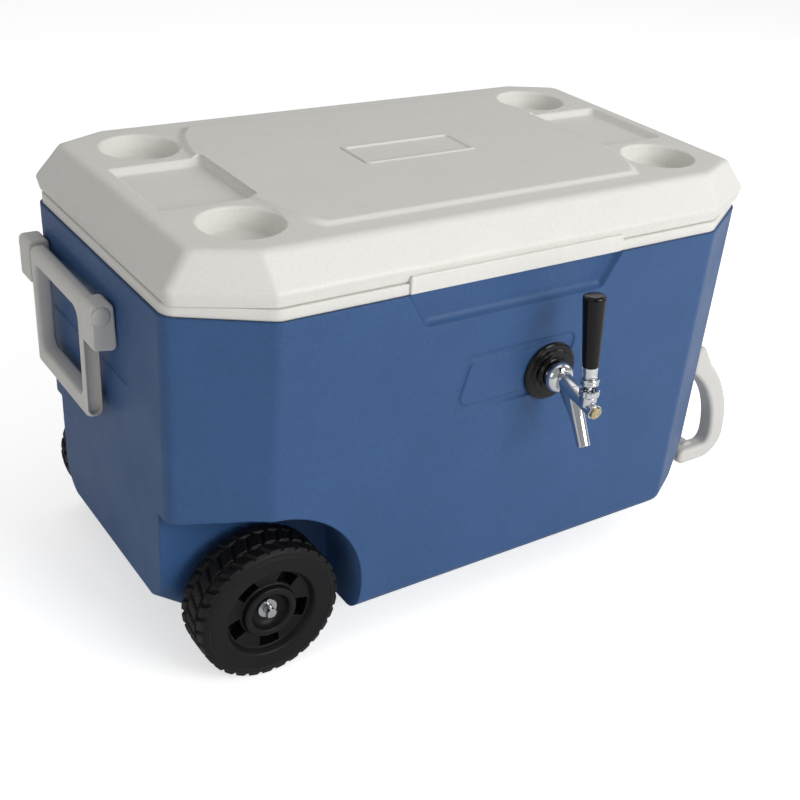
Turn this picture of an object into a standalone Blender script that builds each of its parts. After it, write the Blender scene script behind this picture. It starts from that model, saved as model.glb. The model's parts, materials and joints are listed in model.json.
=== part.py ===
"""Portable one-tap kegerator: a wheeled hard cooler with a beer faucet, a cooling coil and two beer lines."""
import math

import bmesh
import bpy
from mathutils import Matrix, Vector

MM = 0.001

# Clearances
GAP = 0.3 * MM          # between pieces that touch
OVER = 12 * MM          # overrun of every cut

# Tub: outer form, seen from above a long octagon with rounded corners
TUB_HALF_LENGTH = 335.8 * MM
TUB_HALF_DEPTH = 199.2 * MM
TUB_CUT_LENGTH = 83.1 * MM      # corner cut along the length
TUB_CUT_DEPTH = 51.3 * MM       # corner cut along the depth
TUB_DRAFT = 7 * MM              # how far each wall leans in from top to bottom
TUB_TOP = 385.8 * MM
TUB_BOTTOM = 44.4 * MM
TUB_CORNER = 18 * MM
TUB_TOE = 16 * MM               # radius round the underside
SHELL_WALL = 3 * MM
KICK_HEIGHT = 53 * MM           # slanted facet under the handle end
KICK_LENGTH = 50 * MM

# Finger recess under the lid's front tab
RECESS_HALF_TOP = 124.5 * MM
RECESS_HALF_FOOT = 104 * MM
RECESS_HEIGHT = 35 * MM
RECESS_DEPTH = 9.6 * MM
RECESS_SLOPE = 5 * MM

# Liner: the cold cavity and the rim that closes the tub
CAVITY_END_WALL = 32.8 * MM     # from the tub's outside to the cavity at the ends
CAVITY_SIDE_WALL = 33.2 * MM    # and at the sides
CAVITY_CUT = 34 * MM
CAVITY_BASE = 53 * MM           # thickness of the tub's bottom
CAVITY_DRAFT = 10 * MM
CAVITY_CORNER = 20 * MM
LINER_WALL = 2.5 * MM
RIM_HEIGHT = 10.9 * MM          # rim's top above the blue shell
RIM_PLATE = 3 * MM

# Wheels and axle
WHEEL_END_INSET = 86.2 * MM     # axle from the tub's end
WHEEL_RADIUS = 73.3 * MM
WHEEL_LUG = 3.2 * MM
WHEEL_WIDTH = 50 * MM
WHEEL_SIDE_INSET = 12.2 * MM    # wheel's outer face from the tub's side
WHEEL_LUGS = 24
LUG_ROWS = 3
LUG_ROW_GAP = 2.5 * MM
WHEEL_EDGE = 2.5 * MM           # from the wheel's face to its first row of lugs
WHEEL_SHOULDER = 7 * MM         # the side ring's edge inside the tread
SIDE_RING_INNER = 47 * MM
SIDE_RING_DEPTH = 1 * MM
DISH_OUTER = 43 * MM
DISH_INNER = 29 * MM
DISH_DEPTH = 9 * MM
HUB_RING_OUTER = 26.6 * MM
HUB_RING_INNER = 20 * MM
HUB_RING_DEPTH = 2.2 * MM
HUB_FLOOR_RADIUS = 14 * MM
WHEEL_POCKETS = 5
POCKET_INNER = 30 * MM
POCKET_OUTER = 42.6 * MM
POCKET_DEPTH = 24 * MM
POCKET_INNER_SHARE = 0.52       # shares of half the pockets' pitch
POCKET_OUTER_SHARE = 0.41
POCKET_START = 56.0             # degrees
WELL_SHIFT = 13.1 * MM          # well centre beyond the axle, towards the tub's end
WELL_ROOM = 34.6 * MM           # round the wheel
WELL_RISE = 5 * MM              # well centre above the axle
WELL_SIDE_ROOM = 12.6 * MM      # behind the wheel
WELL_INSULATION = 26 * MM
AXLE_RADIUS = 4.75 * MM
AXLE_END = 11 * MM              # axle beyond the hub recess floor
GROOVE_HALF = 8 * MM
GROOVE_RISE = 9 * MM            # groove roof above the axle centre
HUB_RECESS = 12 * MM
WASHER_RADIUS = 10 * MM
WASHER_THICK = 1.6 * MM
COTTER_RADIUS = 1.3 * MM
COTTER_EYE_RADIUS = 3.1 * MM
COTTER_LENGTH = 20 * MM
RETAINER_LENGTH = 26 * MM
RETAINER_THICK = 3 * MM
RETAINER_WING = 14 * MM
RETAINER_OFFSET = 70 * MM

# Foot skid under the handle end
FOOT_LENGTH = 62 * MM
FOOT_HALF_WIDTH = 128 * MM
FOOT_INSET = 64 * MM            # from the tub's end to the foot
FOOT_TAPER = 6 * MM
FOOT_ROUND = 6 * MM

# Lid
LID_END_INSET = 4.3 * MM        # lid's widest line inside the tub's outline
LID_SIDE_INSET = 4 * MM
LID_CUT_LENGTH = 81.3 * MM
LID_CUT_DEPTH = 42.1 * MM
LID_END_RUN = 22.5 * MM         # how far the bevel runs in
LID_SIDE_RUN = 22.7 * MM
LID_TOP_CUT_LENGTH = 53.3 * MM
LID_TOP_CUT_DEPTH = 24.8 * MM
LID_BEVEL = 33.9 * MM
LID_LIP = 10.2 * MM
LID_LIP_TAPER = 3.8 * MM
LID_CORNER = 12 * MM
LID_ROUND = 3 * MM
LID_WALL = 3 * MM
TAB_DROP = 10 * MM
TAB_THICK = 11 * MM
PANEL_END_MARGIN = 99 * MM      # from the lid's flat top to the raised panel
PANEL_SIDE_MARGIN = 30.5 * MM
PANEL_BULGE = 26 * MM
PANEL_HEIGHT = 3.2 * MM
PANEL_SLOPE = 5 * MM
PLATE_HALF_LENGTH = 66 * MM
PLATE_HALF_DEPTH = 27 * MM
PLATE_BORDER = 4 * MM
PLATE_HEIGHT = 1.2 * MM
CUP_END_MARGIN = 65.4 * MM      # cup centre from the end of the lid's flat top
CUP_SIDE_MARGIN = 63 * MM
CUP_RADIUS = 37.5 * MM
CUP_FOOT_RADIUS = 35 * MM
CUP_LIP = 2.2 * MM
CUP_DEPTH = 21 * MM
TRAY_MARGIN = 11 * MM           # from the end of the lid's flat top
TRAY_LENGTH = 93 * MM
TRAY_CUP_MARGIN = 12 * MM       # between a tray and the cups beside it
TRAY_DEPTH = 6.5 * MM
TRAY_SLOPE = 9 * MM
TRAY_INNER_SLOPE_SHARE = 0.25
TRAY_CORNER = 4.5 * MM
PLUG_MARGIN = 6 * MM
PLUG_DROP = 11 * MM

# Lid hinges
HINGE_X = 185 * MM
HINGE_HALF = 34 * MM
HINGE_LEAF = 2 * MM
HINGE_DROP = 26 * MM
HINGE_BARREL = 4.4 * MM
HINGE_PIN = 2.2 * MM
HINGE_SCREW = 3.6 * MM
HINGE_SCREW_HEAD = 1.4 * MM
HINGE_SCREW_OUT = 20.4 * MM      # screw from the hinge's middle
HINGE_SCREW_DROP = 17.7 * MM
HINGE_KNUCKLE_SHARE = 0.36      # middle knuckle's share of the hinge

# Bail handle on the wheel end
BAIL_FRONT = -16.5 * MM
BAIL_REAR = 122 * MM
BAIL_PIVOT_DROP = 41.3 * MM     # pivot below the shell's top
BAIL_DEPTH = 17.4 * MM
BAIL_STAND = 4.5 * MM           # from the wall to the hanging bail
BAIL_DROP = 118 * MM            # pivot to the bottom of the grip
BAIL_ARM = 11.5 * MM
BAIL_GRIP = 21 * MM
BAIL_BAR = 8 * MM
BAIL_CHANNEL = 5.2 * MM
BAIL_CHANNEL_DEPTH = 7 * MM
BAIL_CHANNEL_FOOT = 7 * MM      # from the bail's foot
BAIL_CHANNEL_TOP = 12 * MM      # from the pivot
BAIL_BEVEL = 2 * MM
BRACKET_WIDTH = 27 * MM
BRACKET_HEIGHT = 48 * MM
BRACKET_DEPTH = 22.5 * MM
BRACKET_PIVOT_DROP = 13 * MM
BRACKET_CORNER = 2.7 * MM
BAIL_PIN_RADIUS = 4 * MM
BAIL_CAP_RADIUS = 9 * MM
BAIL_CAP_HEIGHT = 2.2 * MM

# Tow handle on the other end
TOW_HALF_WIDTH = 142 * MM
TOW_ARM = 22 * MM
TOW_PIVOT_HEIGHT = 196 * MM
TOW_EYE = 9.5 * MM
TOW_REACH = 75 * MM             # furthest point out from the wall
TOW_BOW = 140 * MM
TOW_BOW_ANGLES = (0.0, 48.0)    # degrees at which each bow starts and ends
TOW_EYE_ANGLES = (60.0, 180.0)
TOW_HOLE_TOP_ANGLES = (88.0, 0.0)
TOW_HOLE_LOW_ANGLES = (-15.0, -72.0)
TOW_HEEL_ANGLES = (165.0, 270.0)
TOW_TOE_ANGLES = (-90.0, -18.0)
TOW_TOE = 33 * MM
TOW_TOE_HEIGHT = 77 * MM
TOW_HEEL = 15 * MM
TOW_HOLE = 22 * MM
TOW_HOLE_TALL = 44 * MM
TOW_HOLE_HEIGHT = 107 * MM
TOW_GRIP_RADIUS = 13 * MM
TOW_GRIP_OUT = 19 * MM
TOW_GRIP_HEIGHT = 63 * MM
TOW_BEVEL = 3 * MM
TOW_PIN_RADIUS = 4 * MM
TOW_PIN_HEAD = 8 * MM
TOW_PIN_HEAD_HEIGHT = 2.4 * MM
TOW_BRACKET_WIDTH = 20 * MM
TOW_BRACKET_HEIGHT = 52 * MM
TOW_BRACKET_TAIL = 12 * MM

# Faucet, on an axis that runs out through the front wall
TAP_X = 50.3 * MM
TAP_HEIGHT = 271.4 * MM
FLANGE_RADIUS = 31 * MM
FLANGE_RIM = 2.5 * MM
FLANGE_DOME = 9 * MM
SHANK_RADIUS = 10.8 * MM
SHANK_BORE = 4 * MM
SHANK_OUT = 9 * MM
SHANK_IN = 24 * MM              # beyond the liner's inner face
COLLAR_RADIUS = 14 * MM
COLLAR_LENGTH = 14 * MM
COLLAR_FRONT_SHARE = 0.42       # share of the collar in front of the shank's end
NECK_RADIUS = 8.6 * MM
BODY_TILT = 13.4                # degrees that the faucet's barrel drops towards the front
BODY_LENGTH = 50 * MM
BODY_RADIUS = 7.4 * MM
BODY_HEAD = 24 * MM             # thicker front length of the barrel
HEAD_RADIUS = 7.8 * MM
BORE_RADIUS = 5.6 * MM
CAP_RADIUS = 6.4 * MM
CAP_THICK = 3 * MM
LEVER_BACK = 12 * MM            # lever's axis behind the barrel's front end
LEVER_RISE = 10.4 * MM          # lever's axis above the barrel's axis
TOWER_RADIUS = 8.4 * MM
BONNET_RADIUS = 10 * MM
BONNET_HEIGHT = 6.6 * MM
BONNET_FLUTES = 14
BONNET_FLUTE = 0.6 * MM
BALL_RADIUS = 4.6 * MM
LEVER_RADIUS = 3 * MM
LEVER_RISER = 32 * MM
LEVER_TIP = 12 * MM
LEVER_TIP_RADIUS = 1.8 * MM
LEVER_COLLAR_RADIUS = 8.8 * MM
LEVER_COLLAR_FOOT = 5.4 * MM
LEVER_COLLAR_HEIGHT = 8.5 * MM
LEVER_COLLAR_TAPER = 2.5 * MM
LEVER_COLLAR_CLEAR = 2.9 * MM   # above the bonnet
FERRULE_RADIUS = 7.6 * MM
FERRULE_HEIGHT = 11.5 * MM
HANDLE_FOOT_RADIUS = 8.1 * MM
HANDLE_TOP_RADIUS = 11.4 * MM
HANDLE_HEIGHT = 71 * MM
HANDLE_ROUND = 2.5 * MM
HANDLE_LEAN = 7.0               # degrees back from upright
PLUNGER_RADIUS = 3 * MM
PLUNGER_SEAT_RADIUS = 5 * MM
PLUNGER_SEAT = 4 * MM
PLUNGER_SLOT = 3.4 * MM         # half length of the slot for the lever's tip
PLUNGER_SLOT_DEPTH = 2.25 * MM  # below the plunger's axis
PLUNGER_TRAVEL = 4.2 * MM
SPOUT_RADIUS = 6.9 * MM
SPOUT_ROOT_RADIUS = 7.6 * MM
SPOUT_BORE = 4.7 * MM
SPOUT_LENGTH = 57 * MM
SPOUT_SLANT = 28.0              # degrees forward from straight down
SPOUT_BACK = 36 * MM            # spout's root behind the barrel's front end

# Fittings inside the cavity, and the inlet through the rear wall
NUT_ACROSS = 31 * MM
NUT_THICK = 7 * MM
TAIL_RADIUS = 8 * MM
TAIL_FLANGE = 2.4 * MM
TAIL_STEM_RADIUS = 3.4 * MM
TAIL_STEM = 20 * MM
TAIL_NUT_ACROSS = 26.6 * MM
TAIL_NUT_LENGTH = 14 * MM
INLET_FLANGE_RADIUS = 27 * MM
INLET_OUT = 5 * MM
INLET_DOME = 5 * MM
HEX_SIDES = 6
SHANK_LEAD = 1.2 * MM           # lead-in at a shank's ends

# Cooling coil, one stainless tube standing on the cavity floor
COIL_X = 60 * MM
COIL_RADIUS = 75 * MM
COIL_TUBE = 3.97 * MM
COIL_PITCH = 11 * MM
COIL_HALF_LOOPS = 19
COIL_START = 30.0               # where the riser stands, degrees round the coil
COIL_STEPS = 24
COIL_RISER_STEPS = 10
COIL_BEND_STEPS = 4
COIL_RISER_OUT = 15 * MM        # riser outside the loops
COIL_BEND = 12 * MM
COIL_RISE = 14 * MM             # risers above the top loop
COIL_FOOT = 6 * MM
FITTING_RADIUS = 6.5 * MM
FITTING_LENGTH = 22 * MM
LINE_RADIUS = 4.75 * MM
LINE_STEPS = 20
LINE_REACH = 60 * MM            # pull of a line's direction at each end

# Drain through the handle end
DRAIN_Y = 62 * MM
DRAIN_RISE = 24.6 * MM          # above the cavity's floor
DRAIN_RADIUS = 11 * MM
DRAIN_BORE = 7 * MM
DRAIN_FLANGE_RADIUS = 19 * MM
DRAIN_FLANGE = 3 * MM
DRAIN_OUT = 13 * MM
DRAIN_CAP_RADIUS = 15 * MM
DRAIN_CAP_WALL = 2.2 * MM
DRAIN_CAP_RIBS = 16
DRAIN_CAP_RIB = 0.9 * MM
DRAIN_NUT_ACROSS = 32 * MM
DRAIN_NUT_THICK = 5 * MM

# Values worked out from the driving ones
TUB_HEIGHT = TUB_TOP - TUB_BOTTOM
RIM_TOP = TUB_TOP + RIM_HEIGHT
CAVITY_HALF_LENGTH = TUB_HALF_LENGTH - CAVITY_END_WALL
CAVITY_HALF_DEPTH = TUB_HALF_DEPTH - CAVITY_SIDE_WALL
CAVITY_FLOOR = TUB_BOTTOM + CAVITY_BASE
AXLE_HEIGHT = WHEEL_RADIUS
WHEEL_X = WHEEL_END_INSET - TUB_HALF_LENGTH
WHEEL_FACE = TUB_HALF_DEPTH - WHEEL_SIDE_INSET
WELL_X = WHEEL_X - WELL_SHIFT
WELL_RADIUS = WHEEL_RADIUS + WELL_ROOM
WELL_HEIGHT = AXLE_HEIGHT + WELL_RISE
WELL_INNER = WHEEL_FACE - WHEEL_WIDTH - WELL_SIDE_ROOM
GROOVE_ROOF = AXLE_HEIGHT + GROOVE_RISE
LID_LOW = RIM_TOP + GAP
LID_WIDE = LID_LOW + LID_LIP
LID_TOP = LID_WIDE + LID_BEVEL
LID_HALF_LENGTH = TUB_HALF_LENGTH - LID_END_INSET
LID_HALF_DEPTH = TUB_HALF_DEPTH - LID_SIDE_INSET
LID_TOP_HALF_LENGTH = LID_HALF_LENGTH - LID_END_RUN
LID_TOP_HALF_DEPTH = LID_HALF_DEPTH - LID_SIDE_RUN
PANEL_HALF_LENGTH = LID_TOP_HALF_LENGTH - PANEL_END_MARGIN
PANEL_HALF_DEPTH = LID_TOP_HALF_DEPTH - PANEL_SIDE_MARGIN
CUP_X = LID_TOP_HALF_LENGTH - CUP_END_MARGIN
CUP_Y = LID_TOP_HALF_DEPTH - CUP_SIDE_MARGIN
TRAY_OUTER_X = LID_TOP_HALF_LENGTH - TRAY_MARGIN
TRAY_INNER_X = TRAY_OUTER_X - TRAY_LENGTH
TRAY_HALF_DEPTH = CUP_Y - CUP_RADIUS - TRAY_CUP_MARGIN
BAIL_PIVOT_HEIGHT = TUB_TOP - BAIL_PIVOT_DROP
DRAIN_HEIGHT = CAVITY_FLOOR + DRAIN_RISE
FRAME_X = 25 * MM               # middle of the overall length and depth, from the tub's middle
FRAME_Y = -33 * MM

# Facets
CORNER_STEPS = 2
TOE_STEPS = 3
ROUND_STEPS = 40
CUP_STEPS = 24
PANEL_STEPS = 8
FLANGE_STEPS = 3
FINE_STEPS = 20
HIDDEN_STEPS = 14
SMALL_STEPS = 12
BALL_STEPS = 8
BAIL_STEPS = 3
TOW_BOW_STEPS = 6
TOW_STEPS = 5
BEVEL_ANGLE = 50.0              # degrees above which an edge is bevelled
SMOOTH_ANGLE = 38.0             # degrees above which an edge stays sharp
CORNER_REACH_SHARE = 0.48       # most of an edge that one rounded corner may take
APART_SHARE = 12                # tube radii along the coil before its loops are compared
MERGE = 0.05 * MM               # points of a turned profile closer than this to its axis are one

FINISHES = {
    "blue_shell": ((0.045, 0.095, 0.225), 0.48, 0.0),
    "white_moulding": ((0.80, 0.79, 0.77), 0.45, 0.0),
    "warm_grey_moulding": ((0.55, 0.54, 0.51), 0.5, 0.0),
    "black_moulding": ((0.012, 0.012, 0.012), 0.5, 0.0),
    "tread_black": ((0.016, 0.016, 0.016), 0.7, 0.0),
    "chrome": ((0.80, 0.80, 0.81), 0.12, 1.0),
    "zinc_steel": ((0.62, 0.62, 0.62), 0.35, 1.0),
    "brass": ((0.72, 0.55, 0.28), 0.3, 1.0),
    "stainless": ((0.60, 0.60, 0.59), 0.28, 1.0),
    "foam": ((0.85, 0.78, 0.55), 0.9, 0.0),
    "clear_hose": ((0.78, 0.80, 0.82), 0.3, 0.0),
}


def clear_scene():
    """Removes what the new file holds and makes the two collections."""
    for item in list(bpy.data.objects):
        bpy.data.objects.remove(item, do_unlink=True)
    groups = []
    for name in ("kegerator", "kegerator_cutters"):
        group = bpy.data.collections.new(name)
        bpy.context.scene.collection.children.link(group)
        groups.append(group)
    return groups


PARTS, CUTTERS = clear_scene()


def make_root():
    """The empty that carries every piece: it centres the whole over the origin."""
    item = bpy.data.objects.new("kegerator_root", None)
    item.location = (-FRAME_X, -FRAME_Y, 0)
    item.empty_display_size = TUB_CORNER
    PARTS.objects.link(item)
    return item


ROOT = make_root()


def finish(name):
    """The material of a finish, made once."""
    found = bpy.data.materials.get(name)
    if found:
        return found
    colour, roughness, metallic = FINISHES[name]
    made = bpy.data.materials.new(name)
    made.use_nodes = True
    shader = made.node_tree.nodes["Principled BSDF"]
    shader.inputs["Base Color"].default_value = (*colour, 1.0)
    shader.inputs["Roughness"].default_value = roughness
    shader.inputs["Metallic"].default_value = metallic
    return made


def new_object(name, bm, material=None, parent=None, at=(0, 0, 0)):
    """An object from a bmesh: a part with its material, or a cutter without one."""
    bmesh.ops.recalc_face_normals(bm, faces=bm.faces)
    mesh = bpy.data.meshes.new(name)
    bm.to_mesh(mesh)
    bm.free()
    item = bpy.data.objects.new(name, mesh)
    item.location = at
    if material:
        mesh.materials.append(finish(material))
        PARTS.objects.link(item)
    else:
        CUTTERS.objects.link(item)
        item.hide_render = True
        item.display_type = "WIRE"
    item.parent = parent or ROOT
    return item


def pivot(name, at, parent=None):
    """An empty on a joint's axis."""
    item = bpy.data.objects.new(name, None)
    item.location = at
    item.empty_display_size = TUB_CORNER
    PARTS.objects.link(item)
    item.parent = parent or ROOT
    return item


def smooth(item, degrees=SMOOTH_ANGLE):
    """Smooth shading with sharp edges kept."""
    item.data.shade_smooth()
    item.data.set_sharp_from_angle(angle=math.radians(degrees))
    return item


def boolean(item, other, operation):
    """Adds a Boolean modifier; the other object becomes a hidden guide."""
    step = item.modifiers.new(other.name, "BOOLEAN")
    step.operation = operation
    step.object = other
    step.solver = "EXACT"
    return item


def cut(item, *others):
    """Takes each of the other solids out of the item."""
    for other in others:
        boolean(item, other, "DIFFERENCE")
    return item


def join(item, *others):
    """Adds each of the other solids to the item."""
    for other in others:
        boolean(item, other, "UNION")
    return item


def bevel(item, width, segments, angle):
    """Rounds the item's sharp edges."""
    step = item.modifiers.new("rounded", "BEVEL")
    step.width = width
    step.segments = segments
    step.limit_method = "ANGLE"
    step.angle_limit = math.radians(angle)
    return item


def octagon(half_x, half_y, cut_x, cut_y):
    """The corners of a long octagon, anticlockwise."""
    quarter = [(half_x, half_y - cut_y), (half_x - cut_x, half_y)]
    corners = list(quarter)
    corners += [(-x, y) for x, y in reversed(quarter)]
    corners += [(-x, -y) for x, y in quarter]
    corners += [(x, -y) for x, y in reversed(quarter)]
    return [Vector(p) for p in corners]


def inset(corners, distance):
    """The outline moved inwards, each edge parallel to itself."""
    moved = []
    count = len(corners)
    for i, corner in enumerate(corners):
        before = (corner - corners[i - 1]).normalized()
        after = (corners[(i + 1) % count] - corner).normalized()
        normal = Vector((-before.y - after.y, before.x + after.x))
        cosine = before.dot(after)
        moved.append(corner + normal * (distance / (1 + cosine)))
    return moved


def rounded(corners, radius, steps=CORNER_STEPS):
    """The outline with each corner turned into an arc."""
    points = []
    count = len(corners)
    for i, corner in enumerate(corners):
        back = corners[i - 1] - corner
        ahead = corners[(i + 1) % count] - corner
        turn = math.pi - back.angle(ahead)
        most = CORNER_REACH_SHARE * min(back.length, ahead.length)
        reach = min(radius * math.tan(turn / 2), most)
        arc = reach / math.tan(turn / 2)
        start = corner + back.normalized() * reach
        side = back.x * ahead.y - back.y * ahead.x
        spin = 1 if side < 0 else -1
        normal = Vector((back.y, -back.x)).normalized() * spin
        centre = start + normal * arc
        for k in range(steps + 1):
            angle = spin * turn * k / steps
            points.append(centre + Matrix.Rotation(angle, 2) @ (start - centre))
    return points


def loft(rings):
    """A closed solid through rings of equally many points, with flat ends."""
    bm = bmesh.new()
    made = [[bm.verts.new(p) for p in ring] for ring in rings]
    count = len(made[0])
    for low, high in zip(made, made[1:]):
        for i in range(count):
            j = (i + 1) % count
            bm.faces.new((low[i], low[j], high[j], high[i]))
    bm.faces.new(made[0])
    bm.faces.new(list(reversed(made[-1])))
    return bm


def level(points, height):
    """Flat outline points set at a height."""
    return [(p[0], p[1], height) for p in points]


def prism(points, axis, low, high):
    """A flat outline run along an axis: its points give the other two axes in order."""
    def place(p, along):
        values = list(p)
        values.insert(axis, along)
        return values
    return loft([[place(p, low) for p in points], [place(p, high) for p in points]])


def block(low, high):
    """A box between two corners."""
    bm = bmesh.new()
    size = [b - a for a, b in zip(low, high)]
    middle = [(a + b) / 2 for a, b in zip(low, high)]
    bmesh.ops.create_cube(bm, size=1.0)
    bmesh.ops.scale(bm, vec=size, verts=bm.verts)
    bmesh.ops.translate(bm, vec=middle, verts=bm.verts)
    return bm


AXES = {"x": Matrix.Rotation(math.pi / 2, 4, "Y"), "y": Matrix.Rotation(-math.pi / 2, 4, "X"),
        "z": Matrix.Identity(4)}


def rod(radius, low, high, axis="z", at=(0, 0), sides=FINE_STEPS, tip=None):
    """A cylinder or cone along an axis, from low to high, centred at the other two coordinates."""
    bm = bmesh.new()
    bmesh.ops.create_cone(bm, cap_ends=True, segments=sides, radius1=radius,
                          radius2=radius if tip is None else tip, depth=high - low)
    bmesh.ops.transform(bm, matrix=AXES[axis], verts=bm.verts)
    centre = list(at)
    centre.insert("xyz".index(axis), (low + high) / 2)
    bmesh.ops.translate(bm, vec=centre, verts=bm.verts)
    return bm


def turned(name, profile, material, parent=None, axis="z", at=(0, 0, 0), steps=FINE_STEPS):
    """A solid turned by a Screw modifier from (radius, height) points, top to bottom on the outer side."""
    bm = bmesh.new()
    verts = [bm.verts.new((radius, 0, height)) for radius, height in profile]
    for a, b in zip(verts, verts[1:]):
        bm.edges.new((a, b))
    if profile[0][0] > 0:
        bm.edges.new((verts[-1], verts[0]))
    mesh = bpy.data.meshes.new(name)
    bm.to_mesh(mesh)
    bm.free()
    item = bpy.data.objects.new(name, mesh)
    if material:
        mesh.materials.append(finish(material))
        PARTS.objects.link(item)
    else:
        CUTTERS.objects.link(item)
        item.hide_render = True
        item.display_type = "WIRE"
    item.parent = parent or ROOT
    item.location = at
    if axis != "z":
        item.rotation_euler = AXES[axis].to_euler()
    screw = item.modifiers.new("turned", "SCREW")
    screw.steps = steps
    screw.render_steps = steps
    screw.use_merge_vertices = True
    screw.merge_threshold = MERGE
    return item


def guide(name, bm, parent=None):
    """A hidden solid that cuts or joins a part."""
    return new_object(name, bm, None, parent)


def show(item, material):
    """Turns a hidden solid into a part with its material."""
    CUTTERS.objects.unlink(item)
    PARTS.objects.link(item)
    item.hide_render = False
    item.display_type = "TEXTURED"
    item.data.materials.append(finish(material))
    return item


def rectangle(low_x, low_y, high_x, high_y):
    """The corners of a rectangle, anticlockwise."""
    return [Vector(p) for p in ((low_x, low_y), (high_x, low_y), (high_x, high_y), (low_x, high_y))]


def tub_outline(inside=0.0):
    """The tub's outline at its top, moved in by a distance."""
    outer = octagon(TUB_HALF_LENGTH, TUB_HALF_DEPTH, TUB_CUT_LENGTH, TUB_CUT_DEPTH)
    return rounded(inset(outer, inside), TUB_CORNER)


def tub_lean(height):
    """How far the tub's wall has leaned in at a height."""
    return TUB_DRAFT * (TUB_TOP - height) / TUB_HEIGHT


def tub_half(height):
    """Half depth and half length of the tub's outside at a height."""
    return TUB_HALF_DEPTH - tub_lean(height), TUB_HALF_LENGTH - tub_lean(height)


def cavity_lean(height):
    """How far the cavity's wall has leaned in at a height."""
    return CAVITY_DRAFT * (RIM_TOP - height) / (RIM_TOP - CAVITY_FLOOR)


def tub_hull(name, wall, top):
    """The tub's outside moved in by a wall, up to a height: kick, wheel wells, groove and recess included."""
    rings = []
    for k in range(TOE_STEPS + 1):
        angle = math.pi / 2 * k / TOE_STEPS
        height = TUB_BOTTOM + TUB_TOE * (1 - math.cos(angle))
        move = tub_lean(height) + wall + TUB_TOE * (1 - math.sin(angle))
        rings.append(level(tub_outline(move), height + wall))
    rings.append(level(tub_outline(tub_lean(top) + wall), top))
    hull = guide(name, loft(rings))
    cut(hull, kick_form(name, wall), groove_form(name, wall))
    cut(hull, *well_forms(name, wall), recess_form(name, wall))
    return hull


def kick_form(name, wall):
    """The slanted facet under the handle end, as a cutter."""
    shift = wall * math.hypot(KICK_HEIGHT, KICK_LENGTH) / KICK_HEIGHT
    slope = KICK_LENGTH / KICK_HEIGHT
    start = tub_half(TUB_BOTTOM)[1] - KICK_LENGTH - shift
    reach = start + (KICK_HEIGHT + OVER) * slope
    corners = [(start - OVER * slope, TUB_BOTTOM - OVER), (reach + KICK_LENGTH, TUB_BOTTOM - OVER),
               (reach, TUB_BOTTOM + KICK_HEIGHT + OVER)]
    return guide(name + "_kick", prism(corners, 1, -TUB_HALF_DEPTH - OVER, TUB_HALF_DEPTH + OVER))


def well_forms(name, wall):
    """The two round wheel wells, as cutters."""
    forms = []
    for side in (-1, 1):
        low, high = sorted((side * (WELL_INNER - wall), side * (TUB_HALF_DEPTH + OVER)))
        well = rod(WELL_RADIUS + wall, low, high, "y", (WELL_X, WELL_HEIGHT), ROUND_STEPS)
        forms.append(guide(f"{name}_well_{side}", well))
    return forms


def groove_form(name, wall):
    """The groove across the underside that holds the axle, as a cutter."""
    low = (WHEEL_X - GROOVE_HALF - wall, -WELL_INNER - OVER, TUB_BOTTOM - OVER)
    high = (WHEEL_X + GROOVE_HALF + wall, WELL_INNER + OVER, GROOVE_ROOF + wall)
    return guide(name + "_groove", block(low, high))


def recess_form(name, wall):
    """The finger recess under the lid's tab, as a cutter: its foot and ends slope inwards evenly."""
    face = tub_half(TUB_TOP)[0]
    spread = (RECESS_HALF_TOP - RECESS_HALF_FOOT) / RECESS_HEIGHT
    rings = []
    for depth, rise in ((-OVER, -RECESS_SLOPE), (RECESS_DEPTH + wall, RECESS_SLOPE)):
        foot, tall = TUB_TOP - RECESS_HEIGHT - wall + rise, TUB_TOP + 2 * OVER
        widen = (wall - rise) * math.hypot(1, spread)
        low, wide = (RECESS_HALF_TOP + widen + spread * (z - TUB_TOP) for z in (foot, tall))
        corners = ((-low, foot), (low, foot), (wide, tall), (-wide, tall))
        rings.append([(x, -face + depth, z) for x, z in corners])
    return guide(name + "_recess", loft(rings))


def cavity(name, grown, low, high):
    """The cold cavity, its walls moved out by a distance, from one height to another."""
    base = octagon(CAVITY_HALF_LENGTH, CAVITY_HALF_DEPTH, CAVITY_CUT, CAVITY_CUT)
    rings = []
    for height in (low, high):
        walls = inset(base, cavity_lean(height) - grown)
        rings.append(level(rounded(walls, CAVITY_CORNER + grown), height))
    space = guide(name, loft(rings))
    for side in (-1, 1):
        reach = WELL_INNER - WELL_INSULATION + grown
        near, far = sorted((side * reach, side * (TUB_HALF_DEPTH + OVER)))
        radius = WELL_RADIUS + WELL_INSULATION - grown
        hump = rod(radius, near, far, "y", (WELL_X, WELL_HEIGHT), ROUND_STEPS)
        cut(space, guide(f"{name}_hump_{side}", hump))
    return space


def wall_holes(prefix):
    """Cutters for the shank, the inlet and the drain, which pass through every wall."""
    reach = TUB_HALF_DEPTH + OVER
    depth = CAVITY_HALF_DEPTH - CAVITY_DRAFT - OVER
    start = CAVITY_HALF_LENGTH - CAVITY_DRAFT - OVER
    shank = rod(SHANK_RADIUS + GAP, -reach, -depth, "y", (TAP_X, TAP_HEIGHT))
    inlet = rod(SHANK_RADIUS + GAP, depth, reach, "y", (TAP_X, TAP_HEIGHT))
    drain = rod(DRAIN_RADIUS + GAP, start, TUB_HALF_LENGTH + OVER, "x", (DRAIN_Y, DRAIN_HEIGHT))
    holes = (("_shank", shank), ("_inlet", inlet), ("_drain", drain))
    return [guide(prefix + name, bm) for name, bm in holes]


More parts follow.
